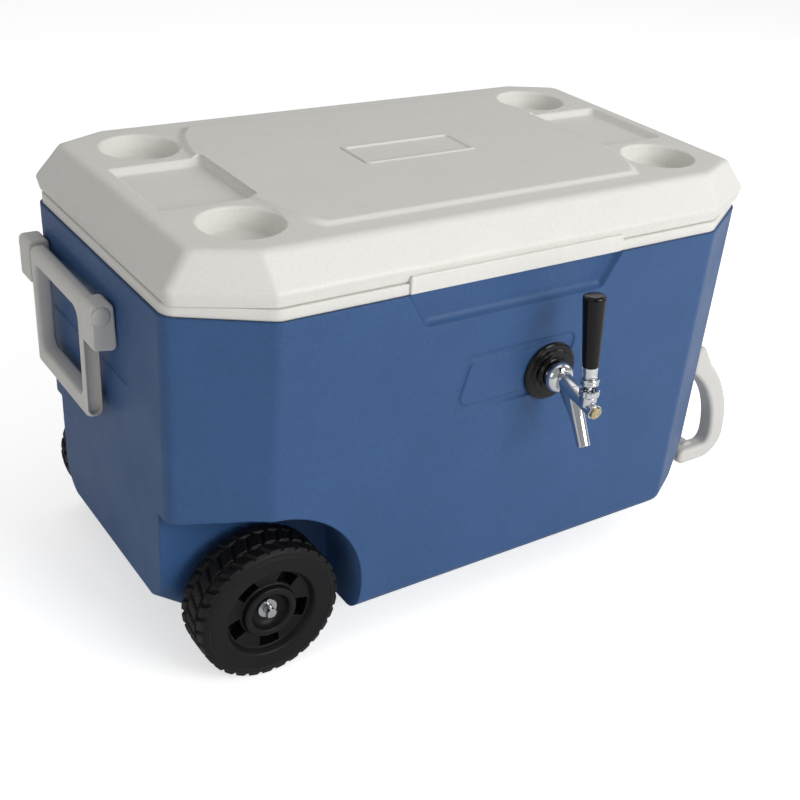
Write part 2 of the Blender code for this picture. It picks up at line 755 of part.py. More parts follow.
def make_tub():
    """The blue shell, the foam and the white liner with its rim."""
    shell = show(tub_hull("outer_shell", 0.0, TUB_TOP), "blue_shell")
    cut(shell, tub_hull("shell_space", SHELL_WALL, TUB_TOP + OVER), *wall_holes("shell"))
    smooth(shell)

    foam = show(tub_hull("tub_foam", SHELL_WALL + GAP, TUB_TOP - GAP), "foam")
    cut(foam, cavity("foam_space", LINER_WALL + GAP, CAVITY_FLOOR - LINER_WALL - GAP, TUB_TOP + OVER))
    cut(foam, *wall_holes("foam"))

    rim = [level(tub_outline(), height) for height in (TUB_TOP + GAP, RIM_TOP - GAP)]
    liner = new_object("inner_liner", loft(rim), "white_moulding")
    join(liner, cavity("liner_outside", LINER_WALL, CAVITY_FLOOR - LINER_WALL, RIM_TOP - RIM_PLATE))
    cut(liner, cavity("liner_inside", 0.0, CAVITY_FLOOR, RIM_TOP + OVER))
    face = tub_half(TUB_TOP)[0]
    notch = block((-RECESS_HALF_TOP, -face - OVER, TUB_TOP - OVER),
                  (RECESS_HALF_TOP, -face + TAB_THICK + GAP, RIM_TOP + OVER))
    cut(liner, guide("rim_notch", notch), *wall_holes("liner"))
    smooth(liner)


def make_foot():
    """The skid under the handle end, which stands level with the wheels."""
    end = tub_half(TUB_BOTTOM)[1] - FOOT_INSET
    corners = rectangle(end - FOOT_LENGTH, -FOOT_HALF_WIDTH, end, FOOT_HALF_WIDTH)
    low = level(rounded(inset(corners, FOOT_TAPER), FOOT_ROUND), 0.0)
    high = level(rounded(corners, FOOT_ROUND), TUB_BOTTOM - GAP)
    new_object("foot_skid", loft([low, high]), "black_moulding")


def wheel_profile():
    """Radius, depth and lug row of the wheel's section, from the outer face round to the inner face."""
    bore = AXLE_RADIUS + GAP
    shoulder = WHEEL_RADIUS - WHEEL_SHOULDER
    points = [(bore, HUB_RECESS, 0), (HUB_FLOOR_RADIUS, HUB_RECESS, 0), (HUB_RING_INNER, HUB_RING_DEPTH, 0),
              (HUB_RING_OUTER, HUB_RING_DEPTH, 0), (DISH_INNER, DISH_DEPTH, 0), (DISH_OUTER, DISH_DEPTH, 0),
              (SIDE_RING_INNER, SIDE_RING_DEPTH, 0), (shoulder, 0.0, 0)]
    row = (WHEEL_WIDTH - 2 * WHEEL_EDGE - (LUG_ROWS - 1) * LUG_ROW_GAP) / LUG_ROWS
    for k in range(LUG_ROWS):
        start = WHEEL_EDGE + k * (row + LUG_ROW_GAP)
        points += [(WHEEL_RADIUS, start, k + 1), (WHEEL_RADIUS, start + row, k + 1)]
    return points + [(shoulder, WHEEL_WIDTH, 0), (bore, WHEEL_WIDTH, 0)]


def make_wheel(name, side, parent):
    """A moulded wheel with staggered rows of lugs, a dished face and pockets round its hub."""
    bm = bmesh.new()
    steps = WHEEL_LUGS * 2
    rings = []
    for i in range(steps):
        angle = 2 * math.pi * i / steps
        ring = []
        for radius, depth, row in wheel_profile():
            if row and (i + row) % 2:
                radius -= WHEEL_LUG
            y = side * (WHEEL_FACE - depth)
            ring.append(bm.verts.new((radius * math.cos(angle), y, radius * math.sin(angle))))
        rings.append(ring)
    count = len(rings[0])
    for i, ring in enumerate(rings):
        after = rings[(i + 1) % steps]
        for k in range(count):
            m = (k + 1) % count
            bm.faces.new((ring[k], ring[m], after[m], after[k]))
    wheel = new_object(name, bm, "tread_black", parent)
    half_pitch = math.pi / WHEEL_POCKETS
    for k in range(WHEEL_POCKETS):
        middle = math.radians(POCKET_START) + 2 * half_pitch * k
        inner, outer = POCKET_INNER_SHARE * half_pitch, POCKET_OUTER_SHARE * half_pitch
        turns = ((POCKET_INNER, -inner), (POCKET_OUTER, -outer), (POCKET_OUTER, outer), (POCKET_INNER, inner))
        corners = [(r * math.cos(middle + t), r * math.sin(middle + t)) for r, t in turns]
        low, high = sorted((side * (WHEEL_FACE - POCKET_DEPTH), side * (WHEEL_FACE + OVER)))
        cut(wheel, guide(f"{name}_pocket_{k}", prism(corners, 1, low, high), parent))
    return smooth(wheel)


def make_retainers():
    """Two caps that hold the axle up in its groove."""
    low = TUB_BOTTOM - GAP - RETAINER_THICK
    wing = GROOVE_HALF + RETAINER_WING
    for word, place in (("front", -RETAINER_OFFSET), ("rear", RETAINER_OFFSET)):
        near, far = place - RETAINER_LENGTH / 2, place + RETAINER_LENGTH / 2
        plate = block((WHEEL_X - wing, near, low), (WHEEL_X + wing, far, TUB_BOTTOM - GAP))
        post = block((WHEEL_X - GROOVE_HALF + GAP, near, low),
                     (WHEEL_X + GROOVE_HALF - GAP, far, AXLE_HEIGHT - AXLE_RADIUS - GAP))
        name = f"{word}_axle_retainer"
        join(new_object(name, plate, "black_moulding"), guide(name + "_post", post))


def make_running_gear():
    """Axle, retainers, wheels, washers and cotter pins."""
    floor = WHEEL_FACE - HUB_RECESS
    end = floor + AXLE_END
    axle = new_object("axle", rod(AXLE_RADIUS, -end, end, "y", (WHEEL_X, AXLE_HEIGHT)), "zinc_steel")
    make_retainers()
    inner = AXLE_RADIUS + GAP
    washer = [(inner, 0), (inner, WASHER_THICK), (WASHER_RADIUS, WASHER_THICK), (WASHER_RADIUS, 0)]
    reach = COTTER_LENGTH / 2
    for word, side in (("front", -1), ("rear", 1)):
        make_wheel(f"{word}_wheel", side, pivot(f"{word}_wheel_axis", (WHEEL_X, 0, AXLE_HEIGHT)))
        start = min(side * (floor + GAP), side * (floor + GAP + WASHER_THICK))
        turned(f"{word}_washer", washer, "zinc_steel", None, "y", (WHEEL_X, start, AXLE_HEIGHT), HIDDEN_STEPS)
        at = (WHEEL_X, side * (floor + 2 * GAP + WASHER_THICK + COTTER_RADIUS), AXLE_HEIGHT)
        stem = rod(COTTER_RADIUS, -reach, reach, sides=SMALL_STEPS)
        pin = new_object(f"{word}_cotter_pin", stem, "zinc_steel", None, at)
        eye = rod(COTTER_EYE_RADIUS, -COTTER_RADIUS, COTTER_RADIUS, "y", (0, reach), SMALL_STEPS)
        join(pin, new_object(f"{word}_cotter_eye", eye, None, None, at))
        hole = rod(COTTER_RADIUS + GAP, -reach, reach, sides=SMALL_STEPS)
        cut(axle, new_object(f"{word}_cotter_hole", hole, None, None, at))


def lid_form(name, wall, low):
    """The lid's outside moved in by a wall, down to a height: lip, widest line, bevel and flat top."""
    top = octagon(LID_TOP_HALF_LENGTH, LID_TOP_HALF_DEPTH, LID_TOP_CUT_LENGTH, LID_TOP_CUT_DEPTH)
    wide = octagon(LID_HALF_LENGTH, LID_HALF_DEPTH, LID_CUT_LENGTH, LID_CUT_DEPTH)
    edge = LID_TOP - (wall or LID_ROUND)
    rows = [(inset(wide, LID_LIP_TAPER), low), (wide, LID_WIDE - wall / 2), (top, edge)]
    if not wall:
        rows.append((inset(top, LID_ROUND), LID_TOP))
    return guide(name, loft([level(rounded(inset(row, wall), LID_CORNER), height) for row, height in rows]))


def panel_outline(grow):
    """The raised panel's outline: straight long sides and bowed ends."""
    points = []
    half_y = PANEL_HALF_DEPTH + grow
    for side in (1, -1):
        for k in range(PANEL_STEPS + 1):
            across = 2 * k / PANEL_STEPS - 1
            inside = PANEL_BULGE * across ** 2
            points.append((side * (PANEL_HALF_LENGTH + grow - inside), side * half_y * across))
    return points


def cup_form(name, grown):
    """The cup holders' hollows, their walls moved out by a distance: turned tapers with a soft lip."""
    cutters = []
    lip = CUP_RADIUS + CUP_LIP
    rows = ((CUP_FOOT_RADIUS, LID_TOP - CUP_DEPTH), (CUP_RADIUS, LID_TOP - CUP_LIP),
            (lip, LID_TOP), (lip, LID_TOP + OVER))
    for k, (side_x, side_y) in enumerate(((-1, -1), (-1, 1), (1, -1), (1, 1))):
        rings = []
        for radius, height in rows:
            turns = [2 * math.pi * i / CUP_STEPS for i in range(CUP_STEPS)]
            rings.append([(side_x * CUP_X + (radius + grown) * math.cos(t),
                           side_y * CUP_Y + (radius + grown) * math.sin(t), height - grown) for t in turns])
        cutters.append(guide(f"{name}_{k}", loft(rings)))
    return cutters


def tray_form(name, grown):
    """The shallow tray between the cup holders of each end: its walls slope."""
    cutters = []
    for side in (-1, 1):
        rings = []
        rows = ((0.0, LID_TOP - TRAY_DEPTH), (TRAY_SLOPE, LID_TOP), (TRAY_SLOPE, LID_TOP + OVER))
        for slope, height in rows:
            inner = TRAY_INNER_X - slope * TRAY_INNER_SLOPE_SHARE - grown
            outer = TRAY_OUTER_X - TRAY_SLOPE + slope + grown
            half = TRAY_HALF_DEPTH - TRAY_SLOPE + slope + grown
            near, far = sorted((side * inner, side * outer))
            rings.append(level(rounded(rectangle(near, -half, far, half), TRAY_CORNER), height - grown))
        cutters.append(guide(f"{name}_{side}", loft(rings)))
    return cutters


def plate_forms():
    """The bare plate on the raised panel: a bordered block, and the sunk field inside its border."""
    border = rectangle(-PLATE_HALF_LENGTH, -PLATE_HALF_DEPTH, PLATE_HALF_LENGTH, PLATE_HALF_DEPTH)
    top = LID_TOP + PANEL_HEIGHT
    raised = [level(rounded(border, PLATE_BORDER), top - PLATE_HEIGHT),
              level(rounded(inset(border, PLATE_HEIGHT), PLATE_BORDER), top + PLATE_HEIGHT)]
    field = rounded(inset(border, PLATE_BORDER), PLATE_BORDER / 2)
    sunk = [level(field, top - PLATE_HEIGHT / 2), level(field, top + OVER)]
    return guide("lid_plate", loft(raised)), guide("lid_plate_field", loft(sunk))


def make_lid_shell():
    """The lid's outer moulding with its tab, raised panel, bare plate, cup holders and trays."""
    shell = show(lid_form("lid_shell", 0.0, LID_LOW), "white_moulding")
    face = tub_half(TUB_TOP)[0]
    tab = block((-RECESS_HALF_TOP + GAP, -face, RIM_TOP - TAB_DROP),
                (RECESS_HALF_TOP - GAP, -face + TAB_THICK, LID_LOW + LID_LIP / 2))
    foot = panel_outline(PANEL_SLOPE)
    rings = [level(foot, LID_TOP - LID_WALL / 2), level(foot, LID_TOP),
             level(panel_outline(0.0), LID_TOP + PANEL_HEIGHT)]
    plate, field = plate_forms()
    join(shell, guide("lid_tab", tab), guide("lid_panel", loft(rings)), plate)
    cut(shell, *cup_form("lid_cup", 0.0), *tray_form("lid_tray", 0.0), field)
    space = lid_form("lid_space", LID_WALL, LID_LOW - OVER)
    cut(space, *cup_form("space_cup", LID_WALL), *tray_form("space_tray", LID_WALL))
    return smooth(cut(shell, space))


def make_lid(axis):
    """Lid shell, inner pan with its plug, and foam, on the hinge axis."""
    shell = make_lid_shell()
    plug = inset(octagon(CAVITY_HALF_LENGTH, CAVITY_HALF_DEPTH, CAVITY_CUT, CAVITY_CUT), PLUG_MARGIN)
    lip = inset(octagon(LID_HALF_LENGTH, LID_HALF_DEPTH, LID_CUT_LENGTH, LID_CUT_DEPTH),
                LID_LIP_TAPER + LID_WALL + GAP)
    plate = [level(rounded(lip, LID_CORNER), height) for height in (LID_LOW, LID_LOW + LID_WALL)]
    pan = new_object("lid_pan", loft(plate), "white_moulding")
    floor = LID_LOW - PLUG_DROP
    drop = [level(rounded(plug, CAVITY_CORNER), height) for height in (floor, LID_LOW + LID_WALL / 2)]
    hollow = [level(rounded(inset(plug, LID_WALL), CAVITY_CORNER), height)
              for height in (floor + LID_WALL, LID_LOW + OVER)]
    join(pan, guide("pan_plug", loft(drop)))
    cut(pan, guide("pan_hollow", loft(hollow)))
    smooth(pan)

    foam = show(lid_form("lid_foam", LID_WALL + GAP, LID_LOW + LID_WALL + GAP), "foam")
    filling = [level(rounded(inset(plug, LID_WALL + GAP), CAVITY_CORNER), height)
               for height in (floor + LID_WALL + GAP, LID_LOW + 2 * LID_WALL)]
    join(foam, guide("foam_filling", loft(filling)))
    cut(foam, *cup_form("foam_cup", LID_WALL + GAP), *tray_form("foam_tray", LID_WALL + GAP))
    for item in (shell, pan, foam):
        carry(item, axis)


def carry(item, axis):
    """Hangs a solid, and the guides that shape it, on a joint's axis without moving them."""
    if item.parent == axis:
        return
    item.parent = axis
    item.location = item.location - axis.location
    for step in item.modifiers:
        if step.type == "BOOLEAN":
            carry(step.object, axis)


def make_body_leaf(word, x, axis):
    """The hinge leaf that is screwed to the tub, with its two outer knuckles."""
    rear = TUB_HALF_DEPTH + GAP
    y, z = axis.location.y, axis.location.z
    knuckle = HINGE_HALF * HINGE_KNUCKLE_SHARE
    plate = block((x - HINGE_HALF, rear, z - HINGE_DROP),
                  (x + HINGE_HALF, rear + HINGE_LEAF, z - HINGE_BARREL - GAP))
    leaf = new_object(f"{word}_hinge_body_leaf", plate, "black_moulding")
    for k, side in enumerate((-1, 1)):
        near, far = sorted((x + side * (knuckle + GAP), x + side * HINGE_HALF))
        barrel = rod(HINGE_BARREL, near, far, "x", (y, z), SMALL_STEPS)
        arm = block((near, rear, z - HINGE_BARREL - HINGE_LEAF), (far, y, z - HINGE_PIN - GAP))
        head = rod(HINGE_SCREW, rear + HINGE_LEAF / 2, rear + HINGE_LEAF + HINGE_SCREW_HEAD, "y",
                   (x + side * HINGE_SCREW_OUT, z - HINGE_SCREW_DROP), SMALL_STEPS)
        join(leaf, *(guide(f"{word}_{part}_{k}", bm)
                     for part, bm in (("knuckle", barrel), ("knuckle_arm", arm), ("screw", head))))
    cut(leaf, guide(f"{word}_bore_low", hinge_bore(x, y, z)))


def hinge_bore(x, y, z):
    """The hole for a hinge pin through all its knuckles."""
    reach = HINGE_HALF + OVER
    return rod(HINGE_PIN + GAP, x - reach, x + reach, "x", (y, z), SMALL_STEPS)


def make_lid_leaf(word, x, axis):
    """The hinge leaf on the lid's lip, with the middle knuckle."""
    y, z = axis.location.y, axis.location.z
    knuckle = HINGE_HALF * HINGE_KNUCKLE_SHARE
    face = LID_HALF_DEPTH + 2 * GAP
    low = z + HINGE_PIN + GAP
    barrel = rod(HINGE_BARREL, x - knuckle, x + knuckle, "x", (y, z), SMALL_STEPS)
    leaf = new_object(f"{word}_hinge_lid_leaf", barrel, "black_moulding")
    strap = block((x - knuckle, face, low), (x + knuckle, y, z + HINGE_BARREL + GAP))
    plate = block((x - HINGE_HALF, face, low), (x + HINGE_HALF, face + HINGE_LEAF, LID_WIDE))
    join(leaf, guide(f"{word}_lid_strap", strap), guide(f"{word}_lid_plate", plate))
    cut(leaf, guide(f"{word}_bore_high", hinge_bore(x, y, z)))
    carry(leaf, axis)


def make_hinges(axis):
    """Two barrel hinges: a leaf on the tub, a leaf on the lid's lip, and a pin."""
    y, z = axis.location.y, axis.location.z
    for word, x in (("left", -HINGE_X), ("right", HINGE_X)):
        make_body_leaf(word, x, axis)
        make_lid_leaf(word, x, axis)
        pin = rod(HINGE_PIN, x - HINGE_HALF, x + HINGE_HALF, "x", (y, z), SMALL_STEPS)
        new_object(f"{word}_hinge_pin", pin, "zinc_steel")


def make_bail():
    """The hanging bail on the wheel end: round top bar, channelled arms and a deep grip."""
    wall = -tub_half(BAIL_PIVOT_HEIGHT)[1]
    centre_x = wall - BAIL_STAND - BAIL_DEPTH / 2
    axis = pivot("bail_axis", (centre_x, (BAIL_FRONT + BAIL_REAR) / 2, BAIL_PIVOT_HEIGHT))
    half = (BAIL_REAR - BAIL_FRONT) / 2
    reach = BAIL_DEPTH / 2
    frame = rectangle(-half, -BAIL_DROP, half, BAIL_BAR)
    opening = rectangle(-half + BAIL_ARM, -BAIL_DROP + BAIL_GRIP, half - BAIL_ARM, -BAIL_BAR)
    bail = new_object("side_bail_handle", prism(rounded(frame, BAIL_BAR, BAIL_STEPS), 0, -reach, reach),
                      "warm_grey_moulding", axis)
    hole = prism(rounded(opening, BAIL_ARM, BAIL_STEPS), 0, -reach - OVER, reach + OVER)
    cut(bail, guide("bail_opening", hole, axis))
    slot = rectangle(-BAIL_CHANNEL, -BAIL_DROP + BAIL_CHANNEL_FOOT, BAIL_CHANNEL, -BAIL_CHANNEL_TOP)
    slot = rounded(slot, BAIL_CHANNEL - GAP, BAIL_STEPS)
    for k, side in enumerate((-1, 1)):
        low, high = sorted((side * (half - BAIL_CHANNEL_DEPTH), side * (half + OVER)))
        cut(bail, guide(f"bail_channel_{k}", prism(slot, 1, low, high), axis))
        low, high = sorted((side * (half - BAIL_ARM), side * (half + OVER)))
        bore = rod(BAIL_PIN_RADIUS + GAP, low, high, "y", sides=HIDDEN_STEPS)
        cut(bail, guide(f"bail_bore_{k}", bore, axis))
    smooth(bevel(bail, BAIL_BEVEL, 1, BEVEL_ANGLE), BEVEL_ANGLE)
    for word, side in (("front", -1), ("rear", 1)):
        make_bail_bracket(word, side, wall, axis, half)


def make_bail_bracket(word, side, wall, axis, half):
    """A bracket at one end of the bail's top bar, and its pin with a domed cap."""
    at = (axis.location.x, BAIL_PIVOT_HEIGHT)
    near = axis.location.y + side * (half + GAP)
    far = near + side * BRACKET_WIDTH
    low, high = sorted((near, far))
    top = BAIL_PIVOT_HEIGHT + BRACKET_PIVOT_DROP
    foot = top - BRACKET_HEIGHT
    out = wall - BRACKET_DEPTH
    outline = [Vector((out, foot + BAIL_BAR)), Vector((-tub_half(foot)[1] - GAP, foot)),
               Vector((-tub_half(top)[1] - GAP, top)), Vector((out, top))]
    bracket = new_object(f"{word}_bail_bracket", prism(rounded(outline, BRACKET_CORNER), 1, low, high),
                         "warm_grey_moulding")
    bore = rod(BAIL_PIN_RADIUS + GAP, low - OVER, high + OVER, "y", at, HIDDEN_STEPS)
    smooth(cut(bracket, guide(f"{word}_bracket_bore", bore)))
    stem = sorted((near - side * (BAIL_ARM - GAP), far + side * GAP))
    shaft = rod(BAIL_PIN_RADIUS, *stem, "y", at, HIDDEN_STEPS)
    pin = new_object(f"{word}_bail_pin", shaft, "warm_grey_moulding")
    cap = sorted((far + side * GAP, far + side * (GAP + BAIL_CAP_HEIGHT)))
    face = BAIL_CAP_RADIUS - BAIL_CAP_HEIGHT
    ends = (face, BAIL_CAP_RADIUS) if side < 0 else (BAIL_CAP_RADIUS, face)
    smooth(join(pin, guide(f"{word}_bail_cap", rod(ends[0], *cap, "y", at, FINE_STEPS, ends[1]))))


def sweep(centre, radii, angles, steps):
    """Points on part of an ellipse, angles in degrees from the outward direction."""
    points = []
    start, end = angles
    for k in range(steps + 1):
        angle = math.radians(start + (end - start) * k / steps)
        points.append((centre[0] + radii[0] * math.cos(angle), centre[1] + radii[1] * math.sin(angle)))
    return points


def tow_outline(wall):
    """The tow arm's outline, x outwards and z upwards: a long bow, a tight toe, an oval opening."""
    start, out = wall + GAP, wall + TOW_REACH
    low = TOW_TOE_HEIGHT - TOW_TOE
    hole = (start, TOW_HOLE_HEIGHT)
    points = sweep((out - TOW_BOW, TOW_TOE_HEIGHT), (TOW_BOW, TOW_BOW), TOW_BOW_ANGLES, TOW_BOW_STEPS)
    points += sweep((start + TOW_EYE, TOW_PIVOT_HEIGHT), (TOW_EYE, TOW_EYE), TOW_EYE_ANGLES, TOW_STEPS)
    points += sweep(hole, (TOW_HOLE, TOW_HOLE_TALL), TOW_HOLE_TOP_ANGLES, TOW_STEPS)
    points += sweep(hole, (TOW_HOLE, TOW_HOLE), TOW_HOLE_LOW_ANGLES, TOW_STEPS // 2)
    points += sweep((start + TOW_HEEL, low + TOW_HEEL), (TOW_HEEL, TOW_HEEL), TOW_HEEL_ANGLES, TOW_STEPS)
    points += sweep((out - TOW_TOE, TOW_TOE_HEIGHT), (TOW_TOE, TOW_TOE), TOW_TOE_ANGLES, TOW_STEPS)
    return [Vector(p) for p in points]


def make_tow_handle():
    """The hooked tow handle: two bowed arms and a round grip, on two brackets."""
    wall = tub_half(TOW_PIVOT_HEIGHT)[1]
    x = wall + GAP + TOW_EYE
    axis = pivot("tow_axis", (x, 0, TOW_PIVOT_HEIGHT))
    outline = [p - Vector((x, TOW_PIVOT_HEIGHT)) for p in tow_outline(wall)]
    inner = TOW_HALF_WIDTH - TOW_ARM
    handle = new_object("tow_handle", prism(outline, 1, -TOW_HALF_WIDTH, -inner), "warm_grey_moulding", axis)
    span = TOW_HALF_WIDTH - TOW_ARM / 2
    grip = rod(TOW_GRIP_RADIUS, -span, span, "y",
               (wall + TOW_GRIP_OUT - x, TOW_GRIP_HEIGHT - TOW_PIVOT_HEIGHT))
    join(handle, guide("tow_arm", prism(outline, 1, inner, TOW_HALF_WIDTH), axis),
         guide("tow_grip_bar", grip, axis))
    reach = TOW_HALF_WIDTH + OVER
    for k, side in enumerate((-1, 1)):
        low, high = sorted((side * (inner - OVER), side * reach))
        bore = rod(TOW_PIN_RADIUS + GAP, low, high, "y", sides=HIDDEN_STEPS)
        cut(handle, guide(f"tow_bore_{k}", bore, axis))
    smooth(bevel(handle, TOW_BEVEL, 1, BEVEL_ANGLE), BEVEL_ANGLE)
    for word, side in (("front", -1), ("rear", 1)):
        make_tow_bracket(word, side, axis)


def make_tow_bracket(word, side, axis):
    """The wall bracket inside one tow arm, and its headed pin."""
    x = axis.location.x
    near = side * (TOW_HALF_WIDTH - TOW_ARM - GAP)
    low, high = sorted((near - side * TOW_BRACKET_WIDTH, near))
    top = TOW_PIVOT_HEIGHT + TOW_BRACKET_HEIGHT / 2
    foot = TOW_PIVOT_HEIGHT - TOW_BRACKET_HEIGHT / 2
    out = x + TOW_BRACKET_TAIL / 2
    outline = [Vector((tub_half(foot)[1] + GAP, foot)), Vector((out, TOW_PIVOT_HEIGHT - TOW_BRACKET_TAIL)),
               Vector((out, TOW_PIVOT_HEIGHT + TOW_BRACKET_TAIL)), Vector((tub_half(top)[1] + GAP, top))]
    outline = rounded(outline, TOW_BRACKET_TAIL, TOW_STEPS // 2)
    bracket = new_object(f"{word}_tow_bracket", prism(outline, 1, low, high), "warm_grey_moulding")
    at = (x, TOW_PIVOT_HEIGHT)
    bore = rod(TOW_PIN_RADIUS + GAP, low - OVER, high + OVER, "y", at, HIDDEN_STEPS)
    smooth(cut(bracket, guide(f"{word}_tow_bracket_bore", bore)))
    outer = side * (TOW_HALF_WIDTH + GAP)
    stem = sorted((near - side * (TOW_BRACKET_WIDTH - GAP), outer))
    pin = new_object(f"{word}_tow_pin", rod(TOW_PIN_RADIUS, *stem, "y", at, HIDDEN_STEPS), "zinc_steel")
    head = sorted((outer, outer + side * TOW_PIN_HEAD_HEIGHT))
    smooth(join(pin, guide(f"{word}_tow_pin_head", rod(TOW_PIN_HEAD, *head, "y", at, FINE_STEPS))))


def make_nut(name, across, bore, low, high, at):
    """A hexagon nut along the front-to-back axis with a round bore."""
    nut = new_object(name, rod(across / math.sqrt(3), low, high, "y", at, HEX_SIDES), "chrome")
    return cut(nut, guide(name + "_bore", rod(bore, low - OVER, high + OVER, "y", at, HIDDEN_STEPS)))


def shank_profile(length):
    """A shank's section along its length: plain, with a lead-in at both ends."""
    relief = SHANK_RADIUS - SHANK_LEAD / 2
    return [(SHANK_BORE, length), (relief, length), (SHANK_RADIUS, length - SHANK_LEAD),
            (SHANK_RADIUS, SHANK_LEAD), (relief, 0.0), (SHANK_BORE, 0.0)]


def make_shank(word, side, dome, out):
    """A shank through a wall, its inside nut, tail stem and tail nut: gives the tail's end back."""
    at = (TAP_X, TAP_HEIGHT)
    inside = CAVITY_HALF_DEPTH - cavity_lean(TAP_HEIGHT)
    tip = tub_half(TAP_HEIGHT)[0] + GAP + dome + out
    root = inside - SHANK_IN
    low, high = sorted((side * root, side * tip))
    turned(f"{word}_shank", shank_profile(high - low), "chrome", None, "y", (TAP_X, low, TAP_HEIGHT),
           HIDDEN_STEPS)
    seat = inside - 2 * GAP
    low, high = sorted((side * seat, side * (seat - NUT_THICK)))
    make_nut(f"{word}_shank_nut", NUT_ACROSS, SHANK_RADIUS + GAP, low, high, at)
    stem_end = root - GAP
    flange = sorted((side * stem_end, side * (stem_end - TAIL_FLANGE)))
    stem = sorted((side * stem_end, side * (stem_end - TAIL_STEM)))
    tail = new_object(f"{word}_tail_stem", rod(TAIL_RADIUS, *flange, "y", at, HIDDEN_STEPS), "chrome")
    join(tail, guide(f"{word}_tail_tube", rod(TAIL_STEM_RADIUS, *stem, "y", at, HIDDEN_STEPS)))
    half = TAIL_NUT_LENGTH / 2
    low, high = sorted((side * (stem_end + half), side * (stem_end - half)))
    nut = make_nut(f"{word}_tail_nut", TAIL_NUT_ACROSS, TAIL_STEM_RADIUS + GAP, low, high, at)
    deep = sorted((side * (stem_end - TAIL_FLANGE - GAP), side * (stem_end + TAIL_NUT_LENGTH)))
    cut(nut, guide(f"{word}_tail_nut_seat", rod(SHANK_RADIUS + GAP, *deep, "y", at, HIDDEN_STEPS)))
    return stem_end - TAIL_STEM


def make_flange(name, side, radius, dome):
    """The domed flange that covers the hole in a wall."""
    face = tub_half(TAP_HEIGHT + radius)[0] + GAP
    hole = SHANK_RADIUS + GAP
    span = radius - hole - FLANGE_RIM
    profile = [(hole, dome)]
    for k in range(FLANGE_STEPS + 1):
        turn = math.pi / 2 * k / FLANGE_STEPS
        rise = (dome - FLANGE_RIM) * math.cos(turn)
        profile.append((hole + FLANGE_RIM + span * math.sin(turn), FLANGE_RIM + rise))
    profile += [(radius, 0.0), (hole, 0.0)]
    item = turned(name, profile, "black_moulding", None, "y", (TAP_X, side * face, TAP_HEIGHT))
    if side < 0:
        item.rotation_euler = AXES["y"].inverted().to_euler()
    smooth(item)


def placed(bm, matrix, axis=None):
    """The solid set by a matrix, then measured from a joint's axis."""
    bmesh.ops.transform(bm, matrix=matrix, verts=bm.verts)
    if axis:
        bmesh.ops.translate(bm, vec=-axis.location, verts=bm.verts)
    return bm


def make_collar(rear, lip):
    """The coupling collar that draws the faucet's neck onto the shank."""
    at = (TAP_X, TAP_HEIGHT)
    back = lip + COLLAR_LENGTH
    collar = new_object("coupling_collar", rod(COLLAR_RADIUS, lip, back, "y", at), "chrome")
    cut(collar, guide("collar_bore", rod(SHANK_RADIUS + GAP, rear - GAP, back + OVER, "y", at)),
        guide("collar_neck", rod(NECK_RADIUS + GAP, lip - OVER, back, "y", at)))
    smooth(collar, BEVEL_ANGLE)


def make_faucet_body(rear, lip, frame, ball):
    """The cast body: neck, tilted barrel with a thicker head, tower and tapering spout, bored through."""
    at = (TAP_X, TAP_HEIGHT)
    body = new_object("faucet_body", rod(NECK_RADIUS, lip - FLANGE_RIM, rear - GAP, "y", at), "chrome")
    barrel = rod(BODY_RADIUS, -BODY_LENGTH, 0, "y", tip=NECK_RADIUS)
    head = rod(HEAD_RADIUS, -BODY_LENGTH, -BODY_LENGTH + BODY_HEAD, "y", tip=BODY_RADIUS)
    tower = rod(TOWER_RADIUS, ball.z - LEVER_RISE, ball.z, "z", (TAP_X, ball.y))
    root = frame @ Vector((0, -BODY_LENGTH + SPOUT_BACK, 0))
    slant = Matrix.Translation(root) @ Matrix.Rotation(-math.radians(SPOUT_SLANT), 4, "X")
    spout = rod(SPOUT_RADIUS, -SPOUT_LENGTH, 0, tip=SPOUT_ROOT_RADIUS)
    join(body, guide("body_barrel", placed(barrel, frame)), guide("body_head", placed(head, frame)),
         guide("body_tower", tower), guide("body_spout", placed(spout, slant)))
    bore = rod(BORE_RADIUS, -BODY_LENGTH - OVER, 0, "y")
    throat = rod(BORE_RADIUS, lip - OVER / 2, rear + OVER, "y", at)
    down = rod(SPOUT_BORE, -SPOUT_LENGTH - OVER, BORE_RADIUS / 2)
    well = rod(BALL_RADIUS + GAP, ball.z - LEVER_RISE, ball.z + OVER, "z", (TAP_X, ball.y))
    cut(body, guide("body_bore", placed(bore, frame)), guide("body_throat", throat),
        guide("spout_bore", placed(down, slant)), guide("tower_bore", well))
    smooth(body)

    cap = rod(CAP_RADIUS, -BODY_LENGTH - CAP_THICK, -BODY_LENGTH - GAP, "y")
    plug = rod(BORE_RADIUS - GAP, -BODY_LENGTH - CAP_THICK / 2, -BODY_LENGTH + CAP_THICK, "y")
    disc = new_object("front_cap_screw", placed(cap, frame), "brass")
    smooth(join(disc, guide("cap_plug", placed(plug, frame))))


def make_bonnet(ball):
    """The fluted bonnet over the lever's ball."""
    low = ball.z + GAP
    high = low + BONNET_HEIGHT
    flutes = []
    for i in range(BONNET_FLUTES * 2):
        radius = BONNET_RADIUS - (0 if i % 2 else BONNET_FLUTE)
        angle = math.pi * i / BONNET_FLUTES
        flutes.append((TAP_X + radius * math.cos(angle), ball.y + radius * math.sin(angle)))
    bonnet = new_object("faucet_bonnet", prism(flutes, 2, low, high), "chrome")
    socket = BALL_RADIUS + GAP
    throat = rod(socket, low - GAP, high + OVER, "z", (TAP_X, ball.y), tip=socket + LEVER_RADIUS)
    cut(bonnet, guide("bonnet_throat", throat))


